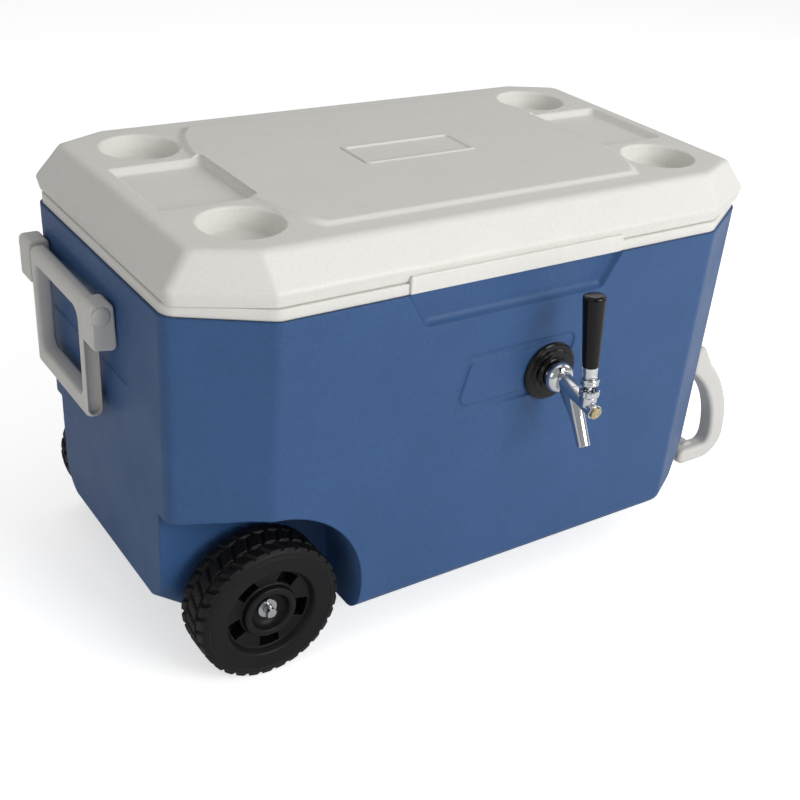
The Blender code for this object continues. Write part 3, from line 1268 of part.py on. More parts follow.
def make_lever(axis):
    """The lever with its ball, its collar, the handle's ferrule and the handle, all leaning back together."""
    lean = Matrix.Rotation(-math.radians(HANDLE_LEAN), 4, "X")
    bore = LEVER_RADIUS + GAP
    turns = [math.pi * k / BALL_STEPS for k in range(1, BALL_STEPS)]
    dome = [(BALL_RADIUS * math.sin(t), BALL_RADIUS * math.cos(t)) for t in turns]
    dome = [(r, z) for r, z in dome if r > (LEVER_RADIUS if z > 0 else LEVER_TIP_RADIUS)]
    lever = [(0, LEVER_RISER), (LEVER_RADIUS, LEVER_RISER), (LEVER_RADIUS, dome[0][1])] + dome
    lever += [(LEVER_TIP_RADIUS, dome[-1][1]), (LEVER_TIP_RADIUS, -LEVER_TIP), (0, -LEVER_TIP)]
    collar = [(bore, LEVER_COLLAR_HEIGHT), (LEVER_COLLAR_RADIUS, LEVER_COLLAR_HEIGHT),
              (LEVER_COLLAR_RADIUS, LEVER_COLLAR_TAPER), (LEVER_COLLAR_FOOT, 0), (bore, 0)]
    ferrule = [(bore, FERRULE_HEIGHT), (FERRULE_RADIUS, FERRULE_HEIGHT), (FERRULE_RADIUS, 0), (bore, 0)]
    handle = [(0, HANDLE_HEIGHT), (HANDLE_TOP_RADIUS - HANDLE_ROUND / 2, HANDLE_HEIGHT),
              (HANDLE_TOP_RADIUS, HANDLE_HEIGHT - HANDLE_ROUND), (HANDLE_FOOT_RADIUS, 0), (0, 0)]
    collar_low = BONNET_HEIGHT + LEVER_COLLAR_CLEAR
    ferrule_low = collar_low + LEVER_COLLAR_HEIGHT + GAP
    grip_low = ferrule_low + FERRULE_HEIGHT + GAP
    shapes = (("tap_lever", 0, lever, "chrome"), ("lever_collar", collar_low, collar, "chrome"),
              ("handle_ferrule", ferrule_low, ferrule, "chrome"),
              ("tap_handle", grip_low, handle, "black_moulding"))
    for name, base, points, material in shapes:
        item = turned(name, points, material, axis, "z", lean @ Vector((0, 0, base)))
        item.rotation_euler = lean.to_euler()
        smooth(item)
    hole = placed(rod(bore, grip_low - OVER, LEVER_RISER + GAP), lean)
    cut(item, guide("handle_socket", hole, axis))
    return lean


def make_plunger(frame, ball, lean):
    """The plunger in the barrel: a seat that shuts the bore and a slot for the lever's tip."""
    slide = pivot("plunger_axis", frame @ Vector((0, -BODY_LENGTH / 2, 0)))
    seat = -FLANGE_RIM - PLUNGER_TRAVEL - GAP
    stem = rod(PLUNGER_RADIUS, -BODY_LENGTH + CAP_THICK + 2 * GAP, seat - PLUNGER_SEAT / 2, "y")
    plunger = new_object("plunger", placed(stem, frame, slide), "brass", slide)
    valve = rod(PLUNGER_SEAT_RADIUS, seat - PLUNGER_SEAT, seat, "y")
    join(plunger, guide("plunger_seat", placed(valve, frame, slide), slide))
    tip = ball + lean @ Vector((0, 0, PLUNGER_RADIUS / 3 - LEVER_RISE))
    middle = (frame.inverted() @ tip).y
    width = 2 * PLUNGER_RADIUS
    slot = block((-width, middle - PLUNGER_SLOT, -PLUNGER_SLOT_DEPTH), (width, middle + PLUNGER_SLOT, width))
    cut(plunger, guide("plunger_slot", placed(slot, frame, slide), slide))


def make_faucet():
    """Coupling collar, faucet body with spout, front cap, bonnet, plunger and lever with its handle."""
    rear = -(tub_half(TAP_HEIGHT)[0] + GAP + FLANGE_DOME + SHANK_OUT) - GAP
    lip = rear - COLLAR_LENGTH * COLLAR_FRONT_SHARE
    frame = Matrix.Translation((TAP_X, lip, TAP_HEIGHT)) @ Matrix.Rotation(math.radians(BODY_TILT), 4, "X")
    ball = frame @ Vector((0, -BODY_LENGTH + LEVER_BACK, 0)) + Vector((0, 0, LEVER_RISE))
    make_collar(rear, lip)
    make_faucet_body(rear, lip, frame, ball)
    make_bonnet(ball)
    lean = make_lever(pivot("lever_axis", ball))
    make_plunger(frame, ball, lean)


def tube(name, points, radius, material, resolution=2):
    """A round tube along points, with filled ends."""
    curve = bpy.data.curves.new(name, "CURVE")
    curve.dimensions = "3D"
    curve.bevel_depth = radius
    curve.bevel_resolution = resolution
    curve.use_fill_caps = True
    spline = curve.splines.new("POLY")
    spline.points.add(len(points) - 1)
    for place, point in zip(spline.points, points):
        place.co = (*point, 1.0)
    curve.materials.append(finish(material))
    item = bpy.data.objects.new(name, curve)
    PARTS.objects.link(item)
    item.parent = ROOT


def coil_points():
    """One tube: down a riser, into the lowest loop, up the helix and out at the top."""
    floor = CAVITY_FLOOR + COIL_FOOT + COIL_TUBE
    loops = COIL_HALF_LOOPS / 2
    top = floor + COIL_PITCH * loops
    rise = top + COIL_RISE
    outside = COIL_RADIUS + COIL_RISER_OUT
    turn = COIL_BEND / outside
    points = []
    for k in range(COIL_RISER_STEPS):
        share = k / COIL_RISER_STEPS
        points.append((outside, 0.0, rise + (floor + COIL_BEND - rise) * share))
    for k in range(COIL_BEND_STEPS + 1):
        angle = math.pi / 2 * k / COIL_BEND_STEPS
        points.append((outside, turn * (1 - math.cos(angle)), floor + COIL_BEND * (1 - math.sin(angle))))
    for k in range(1, COIL_HALF_LOOPS * COIL_STEPS // 2 + 1):
        share = min(1.0, 2 * k / COIL_STEPS)
        eased = share * share * (3 - 2 * share)
        radius = outside + (COIL_RADIUS - outside) * eased
        points.append((radius, turn + 2 * math.pi * k / COIL_STEPS, floor + COIL_PITCH * k / COIL_STEPS))
    last = turn + 2 * math.pi * loops
    turn = COIL_BEND / COIL_RADIUS
    for k in range(1, COIL_BEND_STEPS + 1):
        angle = math.pi / 2 * k / COIL_BEND_STEPS
        points.append((COIL_RADIUS, last + turn * math.sin(angle), top + COIL_BEND * (1 - math.cos(angle))))
    points.append((COIL_RADIUS, last + turn, rise))
    start = math.radians(COIL_START)
    return [Vector((COIL_X + r * math.cos(start + a), r * math.sin(start + a), z)) for r, a, z in points]


def least_gap(points, radius):
    """The least gap of the tube to itself, measured on points that lie well apart along it."""
    run = [0.0]
    for a, b in zip(points, points[1:]):
        run.append(run[-1] + (a - b).length)
    least = math.inf
    for i, a in enumerate(points):
        for j in range(i + 1, len(points)):
            if run[j] - run[i] > APART_SHARE * radius:
                least = min(least, (a - points[j]).length)
    return least - 2 * radius


def bezier(a, da, b, db, steps):
    """Points on one smooth curve from a to b with the directions held at both ends."""
    points = []
    for k in range(steps + 1):
        t = k / steps
        s = 1 - t
        points.append(a * s ** 3 + (a + da) * 3 * s * s * t + (b + db) * 3 * s * t * t + b * t ** 3)
    return points


def make_coil(front_stem, rear_stem):
    """The cooling coil, its two fittings, and the beer lines to the shanks."""
    points = coil_points()
    print("coil least gap to itself, mm:", round(least_gap(points, COIL_TUBE) / MM, 2))
    tube("cooling_coil", points, COIL_TUBE, "stainless", 1)
    for word, tip, side, stem in (("inlet", points[0], 1, rear_stem), ("outlet", points[-1], -1, front_stem)):
        base = tip.z + GAP
        fitting = rod(FITTING_RADIUS, base, base + FITTING_LENGTH, "z", (tip.x, tip.y))
        smooth(new_object(f"{word}_line_fitting", fitting, "chrome"))
        start = Vector((tip.x, tip.y, base + FITTING_LENGTH + GAP))
        end = Vector((TAP_X, side * (stem - GAP), TAP_HEIGHT))
        up, back = Vector((0, 0, 1)), Vector((0, -side, 0))
        leave, arrive = start + up * 2 * LINE_RADIUS, end + back * 2 * LINE_RADIUS
        path = [start] + bezier(leave, up * LINE_REACH, arrive, back * LINE_REACH, LINE_STEPS) + [end]
        tube(f"{word}_beer_line", path, LINE_RADIUS, "clear_hose")


def make_drain():
    """The drain spout through the handle end, its inside nut and its screw cap."""
    face = tub_half(DRAIN_HEIGHT + DRAIN_FLANGE_RADIUS)[1]
    inside = CAVITY_HALF_LENGTH - cavity_lean(DRAIN_HEIGHT)
    at = (DRAIN_Y, DRAIN_HEIGHT)
    start = inside - DRAIN_NUT_THICK - 2 * GAP
    length = face + DRAIN_OUT - start
    out = face + GAP - start
    profile = [(DRAIN_BORE, length), (DRAIN_RADIUS, length), (DRAIN_RADIUS, out + DRAIN_FLANGE),
               (DRAIN_FLANGE_RADIUS, out + DRAIN_FLANGE), (DRAIN_FLANGE_RADIUS, out), (DRAIN_RADIUS, out),
               (DRAIN_RADIUS, 0), (DRAIN_BORE, 0)]
    smooth(turned("drain_spout", profile, "white_moulding", None, "x", (start, *at)))
    nut = rod(DRAIN_NUT_ACROSS / math.sqrt(3), start, inside - 2 * GAP, "x", at, HEX_SIDES)
    bore = rod(DRAIN_RADIUS + GAP, start - OVER, inside + OVER, "x", at)
    cut(new_object("drain_nut", nut, "white_moulding"), guide("drain_nut_bore", bore))
    low = face + 2 * GAP + DRAIN_FLANGE
    deep = face + DRAIN_OUT + GAP - low
    axis = pivot("drain_axis", (low, *at))
    ribs = []
    for i in range(DRAIN_CAP_RIBS * 2):
        radius = DRAIN_CAP_RADIUS - (0 if i % 2 else DRAIN_CAP_RIB)
        angle = math.pi * i / DRAIN_CAP_RIBS
        ribs.append((radius * math.cos(angle), radius * math.sin(angle)))
    cap = new_object("drain_cap", prism(ribs, 0, 0, deep + DRAIN_CAP_WALL), "white_moulding", axis)
    cut(cap, guide("drain_cap_bore", rod(DRAIN_RADIUS + GAP, -OVER, deep, "x"), axis))


def main():
    """Builds the cooler, then the faucet and what the cooler holds."""
    make_tub()
    make_foot()
    make_running_gear()
    lid_axis = pivot("lid_axis", (0, TUB_HALF_DEPTH + GAP + HINGE_BARREL, RIM_TOP + GAP))
    make_lid(lid_axis)
    make_hinges(lid_axis)
    make_bail()
    make_tow_handle()
    front_stem = make_shank("front", -1, FLANGE_DOME, SHANK_OUT)
    make_flange("faucet_flange", -1, FLANGE_RADIUS, FLANGE_DOME)
    make_faucet()
    rear_stem = make_shank("rear", 1, INLET_DOME, INLET_OUT)
    make_flange("inlet_flange", 1, INLET_FLANGE_RADIUS, INLET_DOME)
    make_coil(front_stem, rear_stem)
    make_drain()


main()
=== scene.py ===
"""Looks of a wheeled cooler that pours beer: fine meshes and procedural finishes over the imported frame."""
import json
import logging
import math
from dataclasses import dataclass
from enum import Enum
from typing import Iterable, Sequence

import bmesh
import bpy
from mathutils import Matrix, Vector

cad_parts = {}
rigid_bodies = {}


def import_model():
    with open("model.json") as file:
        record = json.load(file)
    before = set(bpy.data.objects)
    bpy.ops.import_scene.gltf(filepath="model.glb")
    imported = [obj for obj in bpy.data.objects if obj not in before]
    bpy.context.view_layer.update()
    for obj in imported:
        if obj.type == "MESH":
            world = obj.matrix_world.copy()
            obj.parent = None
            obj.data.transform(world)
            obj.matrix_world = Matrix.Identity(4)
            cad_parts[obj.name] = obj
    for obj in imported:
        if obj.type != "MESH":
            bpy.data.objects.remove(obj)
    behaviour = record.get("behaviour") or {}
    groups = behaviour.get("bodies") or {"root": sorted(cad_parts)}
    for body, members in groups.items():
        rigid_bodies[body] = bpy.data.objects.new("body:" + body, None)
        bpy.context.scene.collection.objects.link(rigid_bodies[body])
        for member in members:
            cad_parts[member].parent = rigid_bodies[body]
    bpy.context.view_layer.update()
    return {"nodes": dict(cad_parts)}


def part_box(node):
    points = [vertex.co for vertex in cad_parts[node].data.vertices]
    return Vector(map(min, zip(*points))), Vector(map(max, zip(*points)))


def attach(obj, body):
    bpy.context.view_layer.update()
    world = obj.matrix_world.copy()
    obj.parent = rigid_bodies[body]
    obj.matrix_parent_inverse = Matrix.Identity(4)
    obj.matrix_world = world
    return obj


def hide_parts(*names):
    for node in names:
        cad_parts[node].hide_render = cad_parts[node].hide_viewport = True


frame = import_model()
LOG = logging.getLogger("kegerator")
MM = 0.001
SHIFT = Vector((-0.025, 0.033, 0.0))    # the tub's middle in the row frame
STRAIGHT = 1e-4    # radians of turn below which a corner counts as straight
EDGE_SHARE = 0.48    # the most of an edge that the arc at one corner may take

Point = tuple[float, float, float]
Profile = list[tuple[float, float]]
Outline = list[Vector]
Solid = bmesh.types.BMesh
Item = bpy.types.Object
Tree = bpy.types.NodeTree
Socket = bpy.types.NodeSocket


def linear(code: str) -> tuple[float, float, float, float]:
    """Turns an sRGB hex colour into a linear one.

    Args:
        code: six hex digits, with or without a leading hash.

    Returns:
        Red, green, blue and alpha in linear light.
    """
    code = code.lstrip("#")
    values = [int(code[i:i + 2], 16) / 255 for i in (0, 2, 4)]
    red, green, blue = (v / 12.92 if v <= 0.04045 else ((v + 0.055) / 1.055) ** 2.4 for v in values)
    return red, green, blue, 1.0


def add_node(tree: Tree, kind: str, settings: dict | None = None, links: dict | None = None) -> bpy.types.Node:
    """Adds a node with its settings and links.

    Args:
        tree: the node tree.
        kind: the node's class without its "ShaderNode" start.
        settings: values by property name, or by socket name or number.
        links: output sockets by the name or number of the input they feed.

    Returns:
        The new node.
    """
    node = tree.nodes.new("ShaderNode" + kind)
    for key, value in (settings or {}).items():
        if isinstance(key, str) and hasattr(node, key) and key not in node.inputs:
            setattr(node, key, value)
        else:
            node.inputs[key].default_value = value
    for key, socket in (links or {}).items():
        tree.links.new(socket, node.inputs[key])
    return node


class Surface(Enum):
    """How a finish breaks up its sheen."""

    PEBBLED = "pebbled"
    SATIN = "satin"
    PLATED = "plated"
    DRAWN = "drawn"
    FOAMED = "foamed"


@dataclass(frozen=True)
class Finish:
    """One real material and how its surface was made.

    Colours are sRGB hex, lengths are in millimetres.
    """

    name: str
    slot: str
    colour: str
    tint: str
    roughness: float
    surface: Surface
    grain: float = 1.0
    relief: float = 0.05
    metallic: float = 0.0
    edge: float = 1.0
    wear: float = 0.0
    specular: float = 0.5

    def material(self) -> bpy.types.Material:
        """Builds the finish's node material once.

        Returns:
            The material.
        """
        found = bpy.data.materials.get(self.name)
        if found:
            return found
        made = bpy.data.materials.new(self.name)
        made.use_nodes = True
        tree = made.node_tree
        shader = tree.nodes["Principled BSDF"]
        shader.inputs["Metallic"].default_value = self.metallic
        shader.inputs["Specular IOR Level"].default_value = self.specular
        place = add_node(tree, "TexCoord").outputs["Object"]
        broad = add_node(tree, "TexNoise", {"Scale": 1000 / 90, "Detail": 4.0, "Roughness": 0.6}, {"Vector": place})
        fine = self._grain(tree, place)
        blend = add_node(tree, "Mix", {"data_type": "RGBA", 6: linear(self.colour), 7: linear(self.tint)},
                         {0: self._share(tree, broad.outputs["Fac"], fine)})
        colour = blend.outputs[2]
        soft_edge = add_node(tree, "Bevel", {"samples": 4, "Radius": self.edge * MM})
        if self.wear:
            edges = add_node(tree, "Bevel", {"samples": 4, "Radius": 2.2 * self.edge * MM})
            plain = add_node(tree, "NewGeometry")
            turn = add_node(tree, "VectorMath", {"operation": "DOT_PRODUCT"},
                            {0: edges.outputs[0], 1: plain.outputs["Normal"]})
            rub = add_node(tree, "MapRange", {"From Min": 0.995, "From Max": 0.80, "To Min": 0.0, "To Max": self.wear},
                           {"Value": turn.outputs["Value"]})
            pale = add_node(tree, "Mix", {"data_type": "RGBA", "blend_type": "SCREEN", 7: linear("6E6E6E")},
                            {0: rub.outputs[0], 6: colour})
            colour = pale.outputs[2]
        tree.links.new(colour, shader.inputs["Base Color"])
        rough = add_node(tree, "MapRange", {"From Min": 0.3, "From Max": 0.7, "To Min": self.roughness * 0.88,
                                            "To Max": self.roughness * 1.12}, {"Value": broad.outputs["Fac"]})
        tree.links.new(rough.outputs[0], shader.inputs["Roughness"])
        bump = add_node(tree, "Bump", {"Strength": 1.0, "Distance": self.relief * MM},
                        {"Height": fine, "Normal": soft_edge.outputs[0]})
        tree.links.new(bump.outputs[0], shader.inputs["Normal"])
        return made

    def _grain(self, tree: Tree, place: Socket) -> Socket:
        """Adds the fine relief of the surface.

        Args:
            tree: the material's nodes.
            place: the coordinates that the pattern follows.

        Returns:
            A height from 0 to 1.
        """
        scale = 1000 / self.grain
        if self.surface is Surface.PEBBLED:
            cells = add_node(tree, "TexVoronoi", {"feature": "SMOOTH_F1", "Scale": scale * 0.55}, {"Vector": place})
            speck = add_node(tree, "TexNoise", {"Scale": scale, "Detail": 3.0, "Roughness": 0.65}, {"Vector": place})
            return add_node(tree, "Math", {"operation": "ADD"},
                            {0: cells.outputs["Distance"], 1: speck.outputs["Fac"]}).outputs[0]
        if self.surface is Surface.FOAMED:
            return add_node(tree, "TexVoronoi", {"Scale": scale}, {"Vector": place}).outputs["Distance"]
        if self.surface is Surface.DRAWN:
            place = add_node(tree, "Mapping", {"Scale": (1.0, 1.0, 9.0)}, {"Vector": place}).outputs[0]
        return add_node(tree, "TexNoise", {"Scale": scale, "Detail": 2.0}, {"Vector": place}).outputs["Fac"]

    def _share(self, tree: Tree, broad: Socket, fine: Socket) -> Socket:
        """Mixes broad drift and fine specks into the share of the tint.

        Args:
            tree: the material's nodes.
            broad: the slow drift, from 0 to 1.
            fine: the fine relief, from 0 to 1.

        Returns:
            How far the colour leans to the tint, from 0 to 1.
        """
        half = add_node(tree, "Math", {"operation": "MULTIPLY", 1: 0.5}, {0: broad})
        both = add_node(tree, "Math", {"operation": "MULTIPLY_ADD", 1: 0.4}, {0: fine, 2: half.outputs[0]})
        return add_node(tree, "MapRange", {"From Min": 0.25, "From Max": 0.85}, {"Value": both.outputs[0]}).outputs[0]


# High-density polyethylene, blow moulded in a grained tool: a fine pebble that scatters the sheen.
BLUE_SHELL = Finish("blue_polyethylene_grained", "blue_shell", "3A5C8B", "32517C", 0.42, Surface.PEBBLED,
                    grain=1.6, relief=0.1, edge=2.6, specular=0.25)
# The same plastic unpigmented but for titanium white: satin, slightly warm, with a soft drift in tone.
WHITE_LID = Finish("white_polyethylene_grained", "white_moulding", "E4E2DD", "DAD8D2", 0.42, Surface.PEBBLED,
                   grain=1.5, relief=0.06, edge=1.8, specular=0.4)
# Polypropylene handles, injection moulded and lightly textured: a greyer, flatter white.
GREY_HANDLE = Finish("warm_grey_polypropylene", "warm_grey_moulding", "D6D4CF", "CCCAC5", 0.44, Surface.SATIN,
                     grain=1.0, relief=0.03, edge=1.4, specular=0.4)
# Black polyethylene wheel, moulded: dry and matte, rubbed paler where lugs and rims catch.
BLACK_TREAD = Finish("black_polyethylene_wheel", "tread_black", "0D0D0E", "131314", 0.5, Surface.SATIN,
                     grain=1.2, relief=0.06, edge=0.7, wear=0.12, specular=0.22)
# Black nylon and phenolic: a tight satin gloss that draws one clean highlight.
BLACK_GLOSS = Finish("black_nylon_moulded", "black_moulding", "040404", "070707", 0.18, Surface.SATIN,
                     grain=0.8, relief=0.006, edge=0.5, specular=0.3)
# Black polypropylene for the plain under parts: matte.
BLACK_PLAIN = Finish("black_polypropylene_moulded", "black_moulding", "0F0F10", "151516", 0.5, Surface.SATIN,
                     grain=1.0, relief=0.04, edge=0.8, specular=0.3)
# Bright chrome plate on cast brass, polished: near mirror, faint waviness.
CHROME = Finish("chrome_plate_polished", "chrome", "D9DADC", "CFD1D4", 0.085, Surface.PLATED,
                grain=6.0, relief=0.02, metallic=1.0, edge=0.7)
# Zinc-plated mild steel: greyish and slightly blurred.
ZINC = Finish("zinc_plated_steel", "zinc_steel", "BFC1C2", "AFB2B4", 0.26, Surface.PLATED,
              grain=2.5, relief=0.02, metallic=1.0, edge=0.4)
# Nickelled brass screw, turned: pale gold with fine lathe blur.
BRASS = Finish("nickelled_brass_turned", "brass", "CDC09A", "BDAF88", 0.24, Surface.PLATED,
               grain=1.2, relief=0.01, metallic=1.0, edge=0.4)
# Stainless steel tube, bright drawn: soft streaks along the draw.
STAINLESS = Finish("stainless_tube_drawn", "stainless", "C4C4C2", "B2B2B0", 0.22, Surface.DRAWN,
                   grain=1.5, relief=0.02, metallic=1.0, edge=0.3)
# Polyurethane foam, foamed in place: chalky cream with open cells.
FOAM = Finish("polyurethane_foam", "foam", "E6DDB8", "D8CC9F", 0.9, Surface.FOAMED, grain=1.5, relief=0.3)


@dataclass(frozen=True)
class Hose:
    """Clear vinyl tube, extruded: milky, slightly see-through, glossy outside."""

    name: str = "clear_vinyl_extruded"
    slot: str = "clear_hose"

    def material(self) -> bpy.types.Material:
        """Builds the hose's node material once.

        Returns:
            The material.
        """
        found = bpy.data.materials.get(self.name)
        if found:
            return found
        made = bpy.data.materials.new(self.name)
        made.use_nodes = True
        tree = made.node_tree
        shader = tree.nodes["Principled BSDF"]
        place = add_node(tree, "TexCoord").outputs["Object"]
        haze = add_node(tree, "TexNoise", {"Scale": 1000 / 12, "Detail": 3.0}, {"Vector": place})
        blend = add_node(tree, "Mix", {"data_type": "RGBA", 6: linear("DDE3E4"), 7: linear("CBD3D6")},
                         {0: haze.outputs["Fac"]})
        tree.links.new(blend.outputs[2], shader.inputs["Base Color"])
        shader.inputs["Roughness"].default_value = 0.16
        shader.inputs["IOR"].default_value = 1.53
        shader.inputs["Transmission Weight"].default_value = 0.55
        return made


HOSE = Hose()


def octagon(half_x: float, half_y: float, cut_x: float, cut_y: float) -> Outline:
    """The corners of a long octagon, anticlockwise.

    Args:
        half_x: half the length.
        half_y: half the depth.
        cut_x: corner cut along the length.
        cut_y: corner cut along the depth.

    Returns:
        Eight points.
    """
    quarter_cut = [(half_x, half_y - cut_y), (half_x - cut_x, half_y)]
    corners = quarter_cut + [(-x, y) for x, y in reversed(quarter_cut)]
    corners += [(-x, -y) for x, y in corners[:2]] + [(x, -y) for x, y in reversed(quarter_cut)]
    return [Vector(p) for p in corners]


def rectangle(low_x: float, low_y: float, high_x: float, high_y: float) -> Outline:
    """The corners of a rectangle, anticlockwise."""
    return [Vector(p) for p in ((low_x, low_y), (high_x, low_y), (high_x, high_y), (low_x, high_y))]


def inset(corners: Outline, distance: float) -> Outline:
    """Moves an outline inwards, each edge parallel to itself.

    Args:
        corners: the outline, anticlockwise.
        distance: how far in it moves, or out where negative.

    Returns:
        The moved outline.
    """
    shifted = []
    count = len(corners)
    for i, corner in enumerate(corners):
        before = (corner - corners[i - 1]).normalized()
        after = (corners[(i + 1) % count] - corner).normalized()
        normal = Vector((-before.y - after.y, before.x + after.x))
        shifted.append(corner + normal * (distance / (1 + before.dot(after))))
    return shifted


def rounded(corners: Outline, radius: float, steps: int = 8) -> Outline:
    """Turns each corner of an outline into an arc.

    Args:
        corners: the outline.
        radius: the arcs' radius, less where an edge is too short for it.
        steps: segments in each arc.

    Returns:
        The outline, with steps + 1 points for each corner.
    """
    points = []
    count = len(corners)
    for i, corner in enumerate(corners):
        back = corners[i - 1] - corner
        ahead = corners[(i + 1) % count] - corner
        turn = math.pi - back.angle(ahead)
        if turn < STRAIGHT:
            points += [corner.copy() for _ in range(steps + 1)]
            continue
        reach = min(radius * math.tan(turn / 2), EDGE_SHARE * back.length, EDGE_SHARE * ahead.length)
        start = corner + back.normalized() * reach
        spin = 1 if back.x * ahead.y - back.y * ahead.x < 0 else -1
        centre = start + Vector((back.y, -back.x)).normalized() * spin * (reach / math.tan(turn / 2))
        for k in range(steps + 1):
            points.append(centre + Matrix.Rotation(spin * turn * k / steps, 2) @ (start - centre))
    return points


def metres(rows: Iterable[Sequence[float]]) -> list[tuple[float, ...]]:
    """Rows of millimetres turned into metres."""
    return [tuple(value * MM for value in row) for row in rows]


def level(points: Iterable[Sequence[float]], height: float) -> list[Point]:
    """Flat outline points set at a height."""
    return [(p[0], p[1], height) for p in points]


def quarter(steps: int, closing: bool = False) -> Profile:
    """The points of a rounded edge with a radius of 1.

    Args:
        steps: segments in the arc.
        closing: whether it runs from the side to the end, and not from the end to the side.

    Returns:
        For each point, how far it lies in from the side and up from the end.
    """
    shares = [1 - k / steps if closing else k / steps for k in range(steps + 1)]
    return [(1 - math.sin(math.pi / 2 * share), 1 - math.cos(math.pi / 2 * share)) for share in shares]


def bridge(bm: Solid, rings: Sequence[Sequence[bmesh.types.BMVert]], closed: bool = True) -> None:
    """Skins each ring and the next with quads.

    Args:
        bm: the solid that takes the faces.
        rings: the rings' corners, equally many in each.
        closed: whether each ring's last corner joins its first.
    """
    count = len(rings[0])
    for near, far in zip(rings, rings[1:]):
        for i in range(count if closed else count - 1):
            j = (i + 1) % count
            bm.faces.new((near[i], near[j], far[j], far[i]))


def loft(rings: Sequence[Sequence[Sequence[float]]]) -> Solid:
    """Makes a closed solid with flat ends through rings.

    Args:
        rings: the points of each ring, equally many in each.

    Returns:
        The solid.
    """
    bm = bmesh.new()
    made = [[bm.verts.new(p) for p in ring] for ring in rings]
    bridge(bm, made)
    bm.faces.new(made[0])
    bm.faces.new(list(reversed(made[-1])))
    bmesh.ops.recalc_face_normals(bm, faces=bm.faces)
    return bm


def prism(points: Iterable[Sequence[float]], axis: int, low: float, high: float, ease: float = 0.0) -> Solid:
    """Runs a flat outline along an axis.

    Args:
        points: the outline in the other two axes, in order.
        axis: 0, 1 or 2.
        low: where the run starts.
        high: where it ends.
        ease: radius of the rounding along both end outlines.

    Returns:
        The solid.
    """
    corners = [Vector(p) for p in points]

    def ring(move: float, along: float) -> list[list[float]]:
        """Sets the outline at one place along the run.

        Args:
            move: how far it moves in.
            along: its place.

        Returns:
            The ring's points.
        """
        placed = [[p[0], p[1]] for p in (inset(corners, move) if ease else corners)]
        for values in placed:
            values.insert(axis, along)
        return placed

    if not ease:
        return loft([ring(0.0, low), ring(0.0, high)])
    return loft([ring(ease * side, low + ease * end) for side, end in quarter(4)]
                + [ring(ease * side, high - ease * end) for side, end in quarter(4, True)])


AXES = {"x": Matrix.Rotation(math.pi / 2, 4, "Y"), "y": Matrix.Rotation(-math.pi / 2, 4, "X"), "z": Matrix.Identity(4)}


def turned(profile: Sequence[Sequence[float]], steps: int = 64) -> Solid:
    """Makes a solid of revolution about the z axis.

    Args:
        profile: radius and height of each point; it is closed, or it starts and ends on the axis.
        steps: segments round the axis.

    Returns:
        The solid.
    """
    bm = bmesh.new()
    rings = []
    for angle in (2 * math.pi * k / steps for k in range(steps)):
        rings.append([bm.verts.new((r * math.cos(angle), r * math.sin(angle), z)) for r, z in profile])
    bridge(bm, rings + rings[:1], profile[0][0] > 0)
    bmesh.ops.remove_doubles(bm, verts=bm.verts, dist=1e-7)
    bmesh.ops.recalc_face_normals(bm, faces=bm.faces)
    return bm


def rod(radius: float, low: float, high: float, steps: int = 48, tip: float | None = None,
        ease: float = 0.0) -> Solid:
    """Makes a cylinder or cone on the z axis.

    Args:
        radius: its radius at the low end.
        low: height of the low end.
        high: height of the high end.
        steps: segments round the axis.
        tip: its radius at the high end, where that differs.
        ease: radius of the rounding of both rims.

    Returns:
        The solid.
    """
    top = radius if tip is None else tip
    profile = [(top, high), (radius, low)]
    if ease:
        profile = [(top - ease * side, high - ease * end) for side, end in quarter(4)]
        profile += [(radius - ease * side, low + ease * end) for side, end in quarter(4, True)]
    return turned([(0.0, high)] + profile + [(0.0, low)], steps)


def arc(centre: tuple[float, float], radius_x: float, radius_y: float, start: float, end: float,
        steps: int) -> Profile:
    """Points on part of an ellipse, angles in degrees."""
    turns = [math.radians(start + (end - start) * k / steps) for k in range(steps + 1)]
    return [(centre[0] + radius_x * math.cos(t), centre[1] + radius_y * math.sin(t)) for t in turns]


def moved(bm: Solid, matrix: Matrix) -> Solid:
    """The solid set by a matrix."""
    bmesh.ops.transform(bm, matrix=matrix, verts=bm.verts)
    return bm


def on_axis(bm: Solid, axis: str, at: Sequence[float]) -> Solid:
    """A solid made on the z axis, turned onto an axis and set at a point."""
    return moved(bm, Matrix.Translation(Vector(at)) @ AXES[axis])


def solid(name: str, bm: Solid) -> Item:
    """Makes a bare object, in the row frame, out of a solid in the tub's own frame.

    Args:
        name: the object's name.
        bm: the solid, which is used up.

    Returns:
        The object.
    """
    bmesh.ops.translate(bm, vec=SHIFT, verts=bm.verts)
    mesh = bpy.data.meshes.new(name)
    bm.to_mesh(mesh)
    bm.free()
    item = bpy.data.objects.new(name, mesh)
    bpy.context.scene.collection.objects.link(item)
    return item


def taken(item: Item) -> Solid:
    """Takes an object's form back as a solid in the tub's own frame.

    Args:
        item: the object, which is removed.

    Returns:
        The solid.
    """
    bm = bmesh.new()
    bm.from_mesh(item.data)
    bmesh.ops.translate(bm, vec=-SHIFT, verts=bm.verts)
    bpy.data.objects.remove(item)
    return bm


def carve(item: Item, others: Sequence[Solid], operation: str = "DIFFERENCE") -> Item:
    """Cuts or joins solids and keeps the result as plain mesh.

    Args:
        item: the object changed.
        others: the solids, which are used up.
        operation: DIFFERENCE, UNION or INTERSECT.

    Returns:
        The same object.
    """
    tools = [solid(f"tool_{k}", bm) for k, bm in enumerate(others)]
    for tool in tools:
        step = item.modifiers.new("carve", "BOOLEAN")
        step.operation, step.object, step.solver = operation, tool, "EXACT"
    bpy.context.view_layer.update()
    ready = item.evaluated_get(bpy.context.evaluated_depsgraph_get())
    mesh = bpy.data.meshes.new_from_object(ready)
    item.modifiers.clear()
    item.data = mesh
    for tool in tools:
        bpy.data.objects.remove(tool)
    return item


